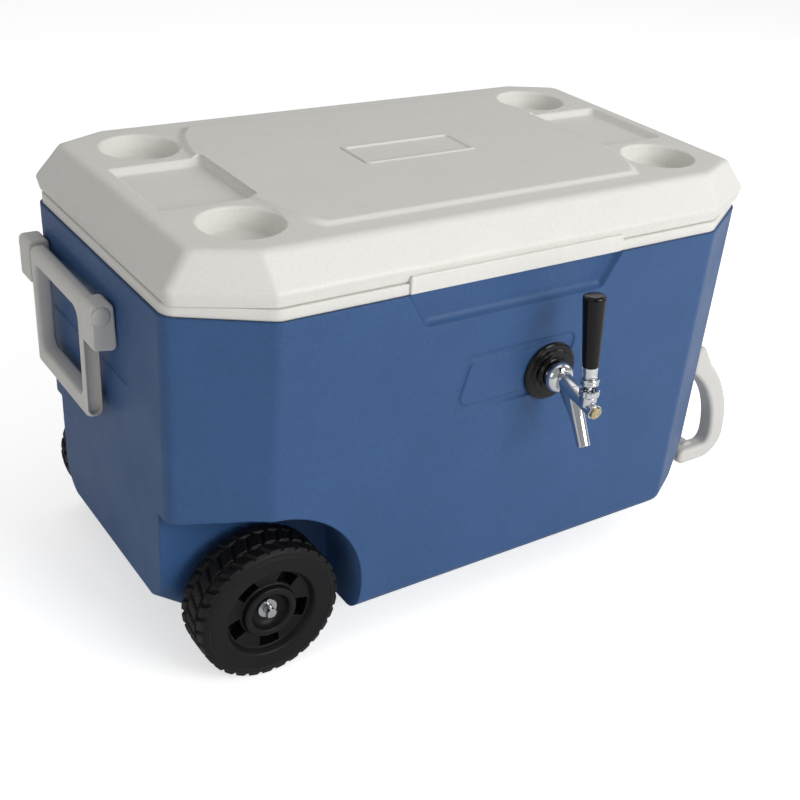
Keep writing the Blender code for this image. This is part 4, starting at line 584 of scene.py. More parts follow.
def dress(item: Item, finish: Finish | Hose, body: str, stands_for: Sequence[str], angle: float) -> None:
    """Shades a piece, gives it its finish and hangs it on its body.

    Args:
        item: the piece.
        finish: its finish.
        body: the body it moves with.
        stands_for: the frame's nodes it replaces.
        angle: degrees above which an edge stays sharp.
    """
    item.data.materials.clear()
    item.data.materials.append(finish.material())
    item.data.shade_smooth()
    item.data.set_sharp_from_angle(angle=math.radians(angle))
    weigh = item.modifiers.new("weighted", "WEIGHTED_NORMAL")
    weigh.keep_sharp = True
    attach(item, body)
    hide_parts(*stands_for)
    LOG.info("%s: %d faces, rides on %s", item.name, len(item.data.polygons), body)


def carry(finish: Finish | Hose, *nodes: str) -> None:
    """Gives the frame's own nodes a finish.

    Args:
        finish: the finish.
        nodes: the nodes' names.
    """
    for name in nodes:
        item = frame["nodes"][name]
        item.data.materials.clear()
        item.data.materials.append(finish.material())
        for face in item.data.polygons:
            face.material_index = 0
        LOG.info("%s: kept from the frame", name)


def swept(name: str, points: Sequence[Vector], radius: float, sides: int = 16) -> Item:
    """Makes a round tube along points, with closed ends.

    Args:
        name: the object's name.
        points: the tube's centre line.
        radius: the tube's radius.
        sides: segments round it.

    Returns:
        The tube.
    """
    rings = []
    turns = [2 * math.pi * k / sides for k in range(sides)]
    side = (points[1] - points[0]).orthogonal().normalized()
    for i, point in enumerate(points):
        ahead = (points[min(i + 1, len(points) - 1)] - points[max(i - 1, 0)]).normalized()
        side = (side - ahead * side.dot(ahead)).normalized()
        other = ahead.cross(side)
        rings.append([point + (side * math.cos(t) + other * math.sin(t)) * radius for t in turns])
    return solid(name, loft(rings))


@dataclass
class Tub:
    """The blue tub with its wheel wells, the white liner with its rim, and the skid."""

    half_length: float = 335.8 * MM
    half_depth: float = 199.2 * MM
    cut_length: float = 83.1 * MM
    cut_depth: float = 51.3 * MM
    draft: float = 7 * MM
    wheel_end_share: float = 0.2
    heel_height: float = 26 * MM
    heel_length: float = 34 * MM
    heel_radius: float = 34 * MM
    brow_drop: float = 9 * MM
    top: float = 385.8 * MM
    bottom: float = 44.4 * MM
    corner: float = 18 * MM
    toe: float = 16 * MM
    wall: float = 3 * MM
    gap: float = 0.3 * MM
    over: float = 12 * MM
    kick_height: float = 53 * MM
    kick_length: float = 50 * MM
    well_x: float = -262.7 * MM
    well_height: float = 78.3 * MM
    well_radius: float = 107.9 * MM
    well_inner: float = 124.4 * MM
    well_insulation: float = 26 * MM
    axle_x: float = -249.6 * MM
    groove_half: float = 8 * MM
    groove_roof: float = 82.3 * MM
    recess_half_top: float = 124.5 * MM
    recess_half_foot: float = 104 * MM
    recess_height: float = 35 * MM
    recess_depth: float = 9.6 * MM
    cavity_half_length: float = 303 * MM
    cavity_half_depth: float = 166 * MM
    cavity_cut: float = 34 * MM
    cavity_floor: float = 97.4 * MM
    cavity_draft: float = 10 * MM
    cavity_corner: float = 20 * MM
    liner_wall: float = 2.5 * MM
    rim_top: float = 396.7 * MM
    rim_inset: float = 2.2 * MM
    rim_ease: float = 1.2 * MM
    cavity_toe: float = 9 * MM
    tab_half: float = 124.5 * MM
    tab_depth: float = 11 * MM
    tap_x: float = 50.3 * MM
    tap_height: float = 271.4 * MM
    shank_radius: float = 10.8 * MM
    drain_y: float = 62 * MM
    drain_height: float = 122 * MM
    drain_radius: float = 11 * MM
    plate_left: float = -68 * MM
    plate_length: float = 135 * MM
    plate_slant: float = 15 * MM
    plate_foot: float = 248 * MM
    plate_crown: float = 309 * MM
    plate_corner: float = 9 * MM
    groove_width: float = 7.4 * MM
    groove_depth: float = 1.8 * MM
    recess_corner: float = 7 * MM
    bail_panel_box: tuple[float, float, float, float] = (-70 * MM, 282 * MM, 175 * MM, 364 * MM)
    bail_panel_corner: float = 9 * MM

    def lean(self, height: float) -> float:
        """How far the wall has leaned in at a height."""
        return self.draft * (self.top - height) / (self.top - self.bottom)

    def outline(self, move: float) -> Outline:
        """The tub's outline at its top, moved inwards."""
        corners = octagon(self.half_length, self.half_depth, self.cut_length, self.cut_depth)
        return rounded(inset(corners, move), self.corner)

    def ring(self, at: float, move: float, height: float) -> list[Point]:
        """One level of the hull, whose wheel end leans in less than its other walls.

        Args:
            at: height that sets the lean.
            move: how far the outline moves in beside the lean.
            height: the level's own height.

        Returns:
            The level's points.
        """
        give = self.lean(at) * (1 - self.wheel_end_share)
        return [(p.x - give if p.x < 0 else p.x, p.y, height) for p in self.outline(self.lean(at) + move)]

    def hull(self, wall: float, top: float) -> Solid:
        """Makes the tub's outer form moved in by a wall, with a rounded underside.

        Args:
            wall: how far the form lies inside the outer face.
            top: the height where it ends.

        Returns:
            The solid.
        """
        rings = []
        for side, end in quarter(8):
            height = self.bottom + self.toe * end
            rings.append(self.ring(height, wall + self.toe * side, height + wall))
        return loft(rings + [self.ring(top, wall, top)])

    def bites(self, wall: float) -> list[Solid]:
        """Makes what the moulding leaves out: kick, wells, heel, axle groove and finger recess.

        Args:
            wall: how far the form lies inside the outer face.

        Returns:
            The waste pieces.
        """
        over, base = self.over, self.bottom - self.over
        end = self.half_length - self.lean(self.bottom)
        start = end - self.kick_length - wall * math.hypot(self.kick_height, self.kick_length) / self.kick_height
        slope = self.kick_length / self.kick_height
        reach = (self.kick_height + over) * slope
        kick = [(start - over * slope, base), (end + reach, base),
                (start + reach, self.bottom + self.kick_height + over)]
        cuts = [prism(kick, 1, -self.half_depth - over, self.half_depth + over)]
        for side in (-1, 1):
            half = (self.half_depth + over - self.well_inner + wall) / 2
            middle = side * (self.well_inner - wall + half)
            crown = self.well_height + self.well_radius + wall
            brow = [(-self.half_length - over, base), (self.well_x, base),
                    (self.well_x, crown), (-self.half_length - over, crown - self.brow_drop)]
            cuts += [on_axis(rod(self.well_radius + wall, -half, half, 160), "y",
                             (self.well_x, middle, self.well_height)),
                     prism(brow, 1, middle - half, middle + half), self.heel_corner(side, wall)]
        heel = self.lean(self.bottom) * self.wheel_end_share - self.half_length
        rise = self.heel_height / self.heel_length
        step = wall * math.hypot(self.heel_height, self.heel_length) / self.heel_length
        waste = [(heel - over, base), (heel + self.heel_length + (over + step) / rise, base),
                 (heel - over, self.bottom + self.heel_height + over * rise + step)]
        groove = rectangle(self.axle_x - self.groove_half - wall, base,
                           self.axle_x + self.groove_half + wall, self.groove_roof + wall)
        return cuts + [prism(waste, 1, -self.half_depth, self.half_depth),
                       prism(groove, 1, -self.well_inner - over, self.well_inner + over), self.recess(wall)]

    def recess(self, wall: float) -> Solid:
        """Makes the hollow of the finger recess under the lid's tab, with softened walls.

        Args:
            wall: how far the form lies inside the outer face.

        Returns:
            The waste piece.
        """
        spread = (self.recess_half_top - self.recess_half_foot) / self.recess_height
        rings = []
        for depth, grow in ((-self.over, 8 * MM), (0.0, 1 * MM), (self.recess_depth * 0.5, -1.2 * MM),
                            (self.recess_depth + wall, -7 * MM)):
            foot, tall = self.top - self.recess_height - wall - grow, self.top + 2 * self.over
            side_grow = wall + grow * math.hypot(1, spread)
            low, wide = (self.recess_half_top + side_grow + spread * (z - self.top) for z in (foot, tall))
            corners = [Vector(p) for p in ((-low, foot), (low, foot), (wide, tall), (-wide, tall))]
            rings.append([(p.x, depth - self.half_depth, p.y) for p in rounded(corners, self.recess_corner, 6)])
        return loft(rings)

    def heel_corner(self, side: int, wall: float) -> Solid:
        """What rounds the lower corner of the wheel end between the two wells.

        Args:
            side: -1 for the front corner, 1 for the rear.
            wall: how far the form lies inside the outer face.

        Returns:
            The waste piece.
        """
        radius, far = self.heel_radius, -self.half_length
        edge = self.well_inner - wall
        rings = []
        for x, lift in ((far - self.over, self.heel_height + self.over * 0.7), (far, self.heel_height),
                        (far + self.heel_length, 0.0), (far + 3 * self.heel_length, -self.over)):
            low = self.bottom + lift + wall
            deep = low - 4 * self.over
            points = arc((edge - radius, low + radius), radius, radius, 0, -90, 10)
            points += [(edge - radius, deep), (edge + self.over, deep), (edge + self.over, low + radius)]
            rings.append([(x, side * y, z) for y, z in points])
        return loft(rings)

    def plate_frame(self) -> Solid:
        """Makes the shallow groove that frames the slanted bare plate behind the tap.

        Returns:
            The waste piece.
        """
        left, right, slant = self.plate_left, self.plate_left + self.plate_length, self.plate_slant
        corners = [Vector(p) for p in ((left, self.plate_foot), (right, self.plate_foot),
                                       (right + slant, self.plate_crown), (left + slant, self.plate_crown))]

        def block(*rows: tuple[float, float]) -> Solid:
            """Lofts the plate's outline through the wall.

            Args:
                rows: depth and inset of each level.

            Returns:
                The solid.
            """
            rings = []
            for depth, move in rows:
                points = rounded(inset(corners, move), self.plate_corner)
                rings.append([(p.x, depth - self.half_depth + self.lean(p.y), p.y) for p in points])
            return loft(rings)

        wide, deep = self.groove_width, self.groove_depth
        groove = block((-2 * MM, -1.2 * MM), (0.0, -0.4 * MM), (deep * 0.75, 0.4 * MM), (deep, 1.3 * MM))
        island = block((-3 * MM, wide + 1.4 * MM), (0.0, wide + 0.4 * MM), (deep * 0.75, wide - 0.4 * MM),
                       (deep, wide - 1.3 * MM), (2 * deep, wide - 1.5 * MM))
        return taken(carve(solid("plate_groove", groove), [island]))

    def bores(self, clearance: float) -> list[Solid]:
        """Makes the holes for the shank, the inlet and the drain.

        Args:
            clearance: room left round each fitting.

        Returns:
            The waste pieces.
        """
        depth = self.cavity_half_depth - self.cavity_draft - self.over
        half = (self.half_depth + self.over - depth) / 2
        holes = [on_axis(rod(self.shank_radius + clearance, -half, half), "y",
                         (self.tap_x, side * (depth + half), self.tap_height)) for side in (-1, 1)]
        start = self.cavity_half_length - self.cavity_draft - self.over
        drain = rod(self.drain_radius + clearance, 0.0, self.half_length + self.over - start)
        return holes + [on_axis(drain, "x", (start, self.drain_y, self.drain_height))]

    def space(self, grown: float, low: float, high: float) -> Solid:
        """Makes the cold space, less the humps over the wheels that stand in it.

        Args:
            grown: how far its walls are moved out.
            low: the height of its floor.
            high: the height where it ends.

        Returns:
            The solid.
        """
        rings = []
        base = octagon(self.cavity_half_length, self.cavity_half_depth, self.cavity_cut, self.cavity_cut)
        foot = [(low + self.cavity_toe * end, self.cavity_toe * side) for side, end in quarter(6)]
        for height, move in foot + [(high, 0.0)]:
            lean = self.cavity_draft * (self.rim_top - height) / (self.rim_top - self.cavity_floor)
            rings.append(level(rounded(inset(base, lean - grown + move), self.cavity_corner + grown), height))
        inner = self.well_inner - self.well_insulation + grown
        half = (self.half_depth + self.over - inner) / 2
        humps = [on_axis(rod(self.well_radius + self.well_insulation - grown, -half, half, 128), "y",
                         (self.well_x, side * (inner + half), self.well_height)) for side in (-1, 1)]
        return taken(carve(solid("space", loft(rings)), humps))

    def build(self) -> None:
        """Makes and dresses the tub's pieces."""
        shell = solid("tub_shell", self.hull(0.0, self.top))
        inside = taken(carve(solid("hollow", self.hull(self.wall, self.top + self.over)), self.bites(self.wall)))
        carve(shell, self.bites(0.0) + [self.bail_panel(), self.plate_frame()] + self.bores(self.gap))
        carve(shell, [inside])
        dress(shell, BLUE_SHELL, "tub", ["outer_shell"], 40)

        low, high, ease = self.top + self.gap, self.rim_top - self.gap / 2, self.rim_ease
        rings = [level(self.outline(self.rim_inset + 0.6 * ease * side), low + 0.6 * ease * end)
                 for side, end in quarter(4)]
        rings += [level(self.outline(self.rim_inset + ease * side), high - ease * end)
                  for side, end in quarter(4, True)]
        liner = solid("liner_and_rim", loft(rings))
        outside = self.space(self.liner_wall, self.cavity_floor - self.liner_wall, self.rim_top - 3 * MM)
        carve(liner, [outside], "UNION")
        tab = rectangle(-self.tab_half, -self.half_depth - self.over,
                        self.tab_half, -self.half_depth + self.tab_depth + self.gap)
        notch = loft([level(tab, z) for z in (self.top - self.over, self.rim_top + self.over)])
        carve(liner, [self.space(0.0, self.cavity_floor, self.rim_top + self.over), notch] + self.bores(self.gap))
        dress(liner, WHITE_LID, "tub", ["inner_liner"], 40)

        packed = self.wall + self.gap
        foam = solid("tub_insulation", self.hull(packed, self.top))
        carve(foam, self.bites(packed) + self.bores(self.gap))
        grown = self.liner_wall + self.gap
        carve(foam, [self.space(grown, self.cavity_floor - grown, self.rim_top + self.over)])
        dress(foam, FOAM, "tub", ["tub_foam"], 40)
        carry(BLACK_PLAIN, "foot_skid", "front_axle_retainer", "rear_axle_retainer")

    def bail_panel(self) -> Solid:
        """Makes the shallow panel pressed into the wall behind the side handle.

        Returns:
            The waste piece.
        """
        rings = []
        for depth, grow in ((-self.over, 3 * MM), (0.2 * MM, 0.0), (1.5 * MM, -2.4 * MM)):
            corners = rounded(inset(rectangle(*self.bail_panel_box), -grow), self.bail_panel_corner)
            rings.append([(depth - self.half_length + self.lean(p.y) * self.wheel_end_share, p.x, p.y)
                          for p in corners])
        return loft(rings)


@dataclass
class Lid:
    """The white lid: bevelled edge, raised middle, cup holders, trays, bare plate and lifting tab."""

    half_length: float = 335 * MM
    half_depth: float = 197 * MM
    cut_length: float = 81.3 * MM
    cut_depth: float = 42.1 * MM
    top_half_length: float = 311 * MM
    top_half_depth: float = 172.5 * MM
    top_cut_length: float = 53.3 * MM
    top_cut_depth: float = 24.8 * MM
    top: float = 441.1 * MM
    bevel: float = 31.6 * MM
    lip: float = 12.5 * MM
    lip_taper: float = 2.6 * MM
    corner: float = 12 * MM
    wall: float = 3 * MM
    pan_half_length: float = 331.5 * MM
    pan_half_depth: float = 195.2 * MM
    pan_inset: float = 6.8 * MM
    pan_thickness: float = 3 * MM
    seat_step: float = 0.25 * MM
    panel_half_length: float = 210 * MM
    panel_half_depth: float = 142 * MM
    panel_bulge: float = 26 * MM
    panel_height: float = 3.2 * MM
    plate_half_length: float = 66 * MM
    plate_half_depth: float = 27 * MM
    plate_height: float = 1.2 * MM
    cup_x: float = 243.6 * MM
    cup_y: float = 109.5 * MM
    cup_radius: float = 37.5 * MM
    cup_foot: float = 35 * MM
    cup_depth: float = 21 * MM
    tray_inner: float = 205 * MM
    tray_outer: float = 298 * MM
    tray_half: float = 60 * MM
    tray_depth: float = 6.5 * MM
    tray_slope: float = 9 * MM
    tray_corner: float = 5 * MM
    cup_lip: float = 3.2 * MM
    cup_toe: float = 3 * MM
    panel_round: float = 9 * MM
    tab_half: float = 124.2 * MM
    tab_face: float = 199.2 * MM
    tab_depth: float = 11 * MM
    tab_low: float = 386.7 * MM
    over: float = 12 * MM

    def form(self, wall: float, low: float) -> Solid:
        """Makes the lid's outer form moved in by a wall: lip, widest line, bevel and top, blended by small arcs.

        Args:
            wall: how far the form lies inside the outer face; 0 makes the outer face.
            low: the height where the hollow starts.

        Returns:
            The solid.
        """
        wide = octagon(self.half_length, self.half_depth, self.cut_length, self.cut_depth)
        upper = octagon(self.top_half_length, self.top_half_depth, self.top_cut_length, self.top_cut_depth)
        wide_z = self.top - self.bevel
        foot = wide_z - self.lip
        rows = [(inset(wide, self.lip_taper + 0.8 * MM), foot), (inset(wide, self.lip_taper), foot + 1.2 * MM),
                (inset(wide, self.lip_taper * 0.35), wide_z - 3.4 * MM),
                (inset(wide, self.lip_taper * 0.12), wide_z - 1.4 * MM), (inset(wide, 0.25 * MM), wide_z)]
        for share, height in ((0.035, 1.6 * MM), (0.10, 3.9 * MM), (0.5, 0.52 * self.bevel),
                              (0.84, 0.865 * self.bevel), (0.93, 0.945 * self.bevel)):
            rows.append(([a.lerp(b, share) for a, b in zip(wide, upper)], wide_z + height))
        for move, drop in metres(((1.2, 0.7), (3.4, 0.12), (5.5, 0.0))):
            rows.append((inset(upper, move), self.top - drop))
        rings = [level(rounded(inset(outline, wall), self.corner), min(height, self.top - wall))
                 for outline, height in rows]
        if wall:
            seat = low + self.over + self.pan_thickness
            pan = octagon(self.pan_half_length, self.pan_half_depth, self.cut_length, self.cut_depth)
            mouth = rounded(inset(pan, self.pan_inset), self.corner)
            rings = [level(mouth, low), level(mouth, seat), level(rings[2], seat + self.seat_step)] + rings[3:10]
        return loft(rings)

    def panel(self, grow: float) -> Profile:
        """Draws the raised panel's outline: straight long sides, bowed ends, rounded corners.

        Args:
            grow: how far the outline is moved out.

        Returns:
            The outline.
        """
        points = []
        half = self.panel_half_depth + grow
        for side in (1, -1):
            for k in range(17):
                t = k / 8 - 1
                bow = self.panel_bulge * (1 - t * t) - self.panel_round * abs(t) ** 9
                points.append((side * (self.panel_half_length + grow - self.panel_bulge + bow), side * half * t))
        return points

    def cups(self, grown: float) -> list[Solid]:
        """Makes the four cup holders' hollows, with a soft lip and a rounded floor edge.

        Args:
            grown: how far their walls are moved out.

        Returns:
            The waste pieces.
        """
        lip, toe = self.cup_lip, self.cup_toe
        wide, foot = self.cup_radius + grown, self.top - self.cup_depth - grown
        profile = [(0.0, self.top + self.over), (wide + lip, self.top + self.over)]
        profile += [(wide + lip * side, self.top - grown - lip * end) for side, end in quarter(6)]
        profile += [(self.cup_foot + grown - toe * end, foot + toe * side) for side, end in quarter(4)]
        profile.append((0.0, foot))
        return [moved(turned(profile, 96), Matrix.Translation((sx * self.cup_x, sy * self.cup_y, 0)))
                for sx in (-1, 1) for sy in (-1, 1)]

    def trays(self, grown: float) -> list[Solid]:
        """Makes the shallow trays between the cup holders, with sloped and softened walls.

        Args:
            grown: how far their walls are moved out.

        Returns:
            The waste pieces.
        """
        made = []
        for side in (-1, 1):
            rings = []
            for share, drop in ((0.0, 1.0), (0.22, 0.94), (0.5, 0.55), (0.78, 0.10), (1.0, 0.0), (1.25, 0.0)):
                slope = self.tray_slope * share
                ends = (self.tray_inner - slope / 3 - grown, self.tray_outer - self.tray_slope + slope + grown)
                low, high = sorted(side * x for x in ends)
                half = self.tray_half - self.tray_slope + slope + grown
                height = self.top - self.tray_depth * drop - grown + (self.over if share > 1 else 0)
                rings.append(level(rounded(rectangle(low, -half, high, half), self.tray_corner), height))
            made.append(loft(rings))
        return made

    def plate(self) -> tuple[Solid, Solid]:
        """Makes the bare plate.

        Returns:
            Its raised border, and the waste piece of the sunk field inside it.
        """
        half_x, half_y = self.plate_half_length, self.plate_half_depth
        border = rectangle(-half_x, -half_y, half_x, half_y)

        def block(corner: float, *rows: tuple[float, float]) -> Solid:
            """The border's outline lofted upwards, from rows of inset and share of the plate's height."""
            top = self.top + self.panel_height
            return loft([level(rounded(inset(border, move), corner), top + self.plate_height * rise)
                         for move, rise in rows])

        return (block(5 * MM, (0.0, -1.0), (0.0, 0.4), (0.5 * MM, 0.9), (1.2 * MM, 1.0)),
                block(3 * MM, (5.6 * MM, -0.5), (5.0 * MM, -0.3), (4.2 * MM, 0.6), (3.6 * MM, 1.05), (3.6 * MM, 4.0)))

    def build(self) -> None:
        """Makes and dresses the lid."""
        low = self.top - self.bevel - self.lip
        shell = solid("lid_moulding", self.form(0.0, low))
        face = self.tab_face
        ends = rounded(rectangle(-self.tab_half, -face, self.tab_half, -face + self.tab_depth), 1.5 * MM, 4)
        tab = loft([level(inset(ends, 0.8 * MM), self.tab_low), level(ends, self.tab_low + 1 * MM),
                    level(ends, low + 3.5 * MM), level(inset(ends, 1.2 * MM), low + 6.5 * MM)])
        rows = ((9.0, -1.5), (8.0, 0.0), (6.4, 0.06), (4.6, 0.28), (3.0, 0.62), (1.4, 0.9), (0.0, 1.0))
        panel = loft([level(self.panel(grow * MM), self.top + self.panel_height * rise) for grow, rise in rows])
        raised, field = self.plate()
        carve(shell, [tab, panel, raised], "UNION")
        carve(shell, [field] + self.cups(0.0) + self.trays(0.0))
        space = solid("lid_space", self.form(self.wall, low - self.over))
        carve(shell, [taken(carve(space, self.cups(self.wall) + self.trays(self.wall)))])
        dress(shell, WHITE_LID, "lid", ["lid_shell"], 40)
        carry(WHITE_LID, "lid_pan")
        carry(FOAM, "lid_foam")
        for side in ("left", "right"):
            carry(BLACK_PLAIN, f"{side}_hinge_body_leaf", f"{side}_hinge_lid_leaf")
            carry(ZINC, f"{side}_hinge_pin")


@dataclass
class Wheel:
    """A moulded wheel: three staggered rows of lugs, a plain side ring, a dish with five pockets and a hub ring."""

    centre_x: float = -249.6 * MM
    height: float = 73.3 * MM
    radius: float = 73.3 * MM
    face: float = 187 * MM
    width: float = 50 * MM
    lug: float = 2.8 * MM
    lugs: int = 30
    tread_steps: int = 40
    tread_edge: float = 2.4 * MM
    crown: float = 1.6 * MM
    pockets: int = 5
    pocket_turn: float = 0.35
    pocket_depth: float = 24 * MM

    def lug_height(self, turn: float, depth: float) -> float:
        """How far the tread stands above its groove floor, from 0 to 1.

        Args:
            turn: share of a turn.
            depth: distance from the outer face.

        Returns:
            1 on a lug and 0 in a groove, with sloped flanks between.
        """
        rows = ((1.0 * MM, 14.5 * MM), (16 * MM, 34 * MM), (35.5 * MM, 49 * MM))
        best = 0.0
        for row, (start, end) in enumerate(rows):
            across = min((depth - start) / (1.0 * MM), (end - depth) / (1.0 * MM))
            skew = 0.45 * (depth - (start + end) / 2) / (end - start) * (1 if row % 2 else -1)
            phase = (turn * self.lugs + 0.5 * row + skew) % 1.0
            along = min(phase / 0.08, (0.84 - phase) / 0.08)
            best = max(best, min(1.0, max(0.0, min(across, along))))
        return best

    def profile(self) -> list[tuple[float, float, bool]]:
        """Draws the section from the bore over the face and the tread to the back.

        Returns:
            For each point its radius, its depth and whether it lies on the tread.
        """
        face = [(5.05, 12.0), (12.0, 12.0), (16.5, 10.6), (19.0, 7.0), (20.0, 3.6), (20.8, 2.6), (22.2, 2.2),
                (25.0, 2.2), (26.6, 2.8), (27.4, 4.0), (28.2, 8.2), (30.0, 9.4), (40.0, 9.0), (43.5, 8.0), (45.2, 5.2),
                (46.4, 2.2), (47.6, 1.1), (49.5, 0.8), (60.8, 0.4), (62.4, 0.3), (62.9, 1.0), (63.7, 1.0), (64.2, 0.2),
                (66.5, 0.3), (68.4, 0.9), (69.6, 1.8)]
        back = [(69.4, 1.2), (66.0, 0.2), (24.0, 0.0), (5.05, 0.0)]
        span = self.width - 2 * self.tread_edge
        shaped = [(radius, depth, False) for radius, depth in metres(face)]
        shaped += [(self.radius, self.tread_edge + span * k / self.tread_steps, True)
                   for k in range(self.tread_steps + 1)]
        return shaped + [(radius, self.width - depth, False) for radius, depth in metres(back)]

    def build(self, word: str, side: int) -> None:
        """Makes one wheel on its side of the tub.

        Args:
            word: front or rear.
            side: -1 for the front wheel, 1 for the rear.
        """
        bm = bmesh.new()
        steps = self.lugs * 10
        rings = []
        shape = self.profile()
        for turn in (i / steps for i in range(steps)):
            angle = 2 * math.pi * turn
            ring = []
            for radius, depth, tread in shape:
                if tread:
                    crown = self.crown * abs(2 * depth / self.width - 1) ** 4
                    radius -= crown + self.lug * (1 - self.lug_height(turn, depth))
                ring.append(bm.verts.new((self.centre_x + radius * math.cos(angle), side * (self.face - depth),
                                          self.height + radius * math.sin(angle))))
            rings.append(ring)
        bridge(bm, rings + rings[:1])
        bmesh.ops.recalc_face_normals(bm, faces=bm.faces)
        wheel = solid(f"{word}_moulded_wheel", bm)
        cuts = []
        for k in range(self.pockets):
            middle = 2 * math.pi * (k + 0.5) / self.pockets + self.pocket_turn
            corners = []
            for radius, spread in ((30.0 * MM, 0.33), (42.6 * MM, -0.26)):
                turns = [middle - spread + 2 * spread * i / 6 for i in range(7)]
                corners += [(radius * math.cos(t) + self.centre_x, radius * math.sin(t) + self.height) for t in turns]
            near, far = sorted((side * (self.face - self.pocket_depth), side * (self.face + 5 * MM)))
            cuts.append(prism(corners, 1, near, far))
        carve(wheel, cuts)
        dress(wheel, BLACK_TREAD, f"{word}_wheel_body", [f"{word}_wheel"], 40)

    def gear(self) -> None:
        """Dresses the axle's hardware."""
        carry(ZINC, "axle", "front_washer", "rear_washer", "front_cotter_pin", "rear_cotter_pin")


@dataclass
class Bail:
    """The hanging side handle: a round top bar, channelled arms, a deep grip, and two brackets with domed pin caps."""

    front: float = -16.5 * MM
    rear: float = 122 * MM
    height: float = 344.5 * MM
    wall: float = -334.95 * MM
    stand: float = 4.5 * MM
    depth: float = 17.4 * MM
    drop: float = 118 * MM
    arm: float = 11.5 * MM
    grip: float = 21 * MM
    bar: float = 8 * MM
    ease: float = 6.5 * MM
    pin: float = 4 * MM
    gap: float = 0.3 * MM
    bracket_width: float = 27 * MM
    bracket_stand: float = 22.5 * MM
    bracket_top: tuple[float, float] = (-335.52 * MM, 355 * MM)
    bracket_foot: tuple[float, float] = (-333.93 * MM, 307.5 * MM)

    def build(self) -> None:
        """Makes and dresses the handle and its brackets."""
        half = self.depth / 2
        x = self.wall - self.stand - half
        foot = self.height - self.drop
        outer = rounded(rectangle(self.front, foot, self.rear, self.height + self.bar), 7 * MM)
        inner = rounded(rectangle(self.front + self.arm, foot + self.grip, self.rear - self.arm,
                                  self.height - self.bar), 10 * MM)
        handle = solid("side_handle", prism(outer, 0, x - half, x + half, self.ease))
        flare = metres(((-5.0, 6.0), (0.0, 3.0), (1.2, 1.2), (4.0, 0.0)))
        rows = [(along - half, grow) for along, grow in flare] + [(half - along, grow) for along, grow in flare[::-1]]
        cuts = [loft([[(x + along, p.x, p.y) for p in inset(inner, -grow)] for along, grow in rows])]
        for side, face in ((-1, self.front), (1, self.rear)):
            slot = rounded(rectangle(x - 6.6 * MM, foot + 3.6 * MM, x + 6.6 * MM, self.height - 13 * MM), 6.4 * MM)
            out = face + side * 12 * MM
            cuts.append(prism(slot, 1, *sorted((face - side * 7.5 * MM, out))))
            near, far = sorted((face - side * self.arm, out))
            cuts.append(on_axis(rod(self.pin + self.gap, 0, far - near), "y", (x, near, self.height)))
        carve(handle, cuts)
        dress(handle, GREY_HANDLE, "bail", ["side_bail_handle"], 40)
        self.bracket("front", -1, self.front - self.gap, x)
        self.bracket("rear", 1, self.rear + self.gap, x)

    def bracket(self, word: str, side: int, face: float, x: float) -> None:
        """Makes one bracket and its pin, whose cap is a low dome on the bracket's end.

        Args:
            word: front or rear.
            side: -1 for the front bracket, 1 for the rear.
            face: where the bracket's inner end lies.
            x: where the pin's axis lies.
        """
        end = face + side * self.bracket_width
        near, far = sorted((face, end))
        (top_x, top), (foot_x, foot) = self.bracket_top, self.bracket_foot
        out = self.wall - self.bracket_stand
        outline = [Vector(p) for p in ((out, foot + 4 * MM), (foot_x, foot), (top_x, top), (out, top))]
        item = solid(f"{word}_handle_bracket", prism(rounded(outline, 5 * MM), 1, near, far, 2.2 * MM))
        carve(item, [on_axis(rod(self.pin + self.gap, 0, 60 * MM), "y", (x, near - 12 * MM, self.height))])
        dress(item, GREY_HANDLE, "tub", [f"{word}_bail_bracket"], 40)
        end += side * self.gap
        low, high = sorted((face - side * 10.6 * MM, end))
        pin = solid(f"{word}_handle_pin", on_axis(rod(self.pin, low, high), "y", (x, 0, self.height)))
        dome = metres(((0.0, 2.4), (4.5, 2.2), (7.2, 1.5), (8.7, 0.6), (9.0, 0.0), (0.0, 0.0)))
        turn = AXES["y"] if side > 0 else AXES["y"].inverted()
        carve(pin, [moved(turned(dome, 48), Matrix.Translation((x, end, self.height)) @ turn)], "UNION")
        dress(pin, GREY_HANDLE, "tub", [f"{word}_bail_pin"], 40)


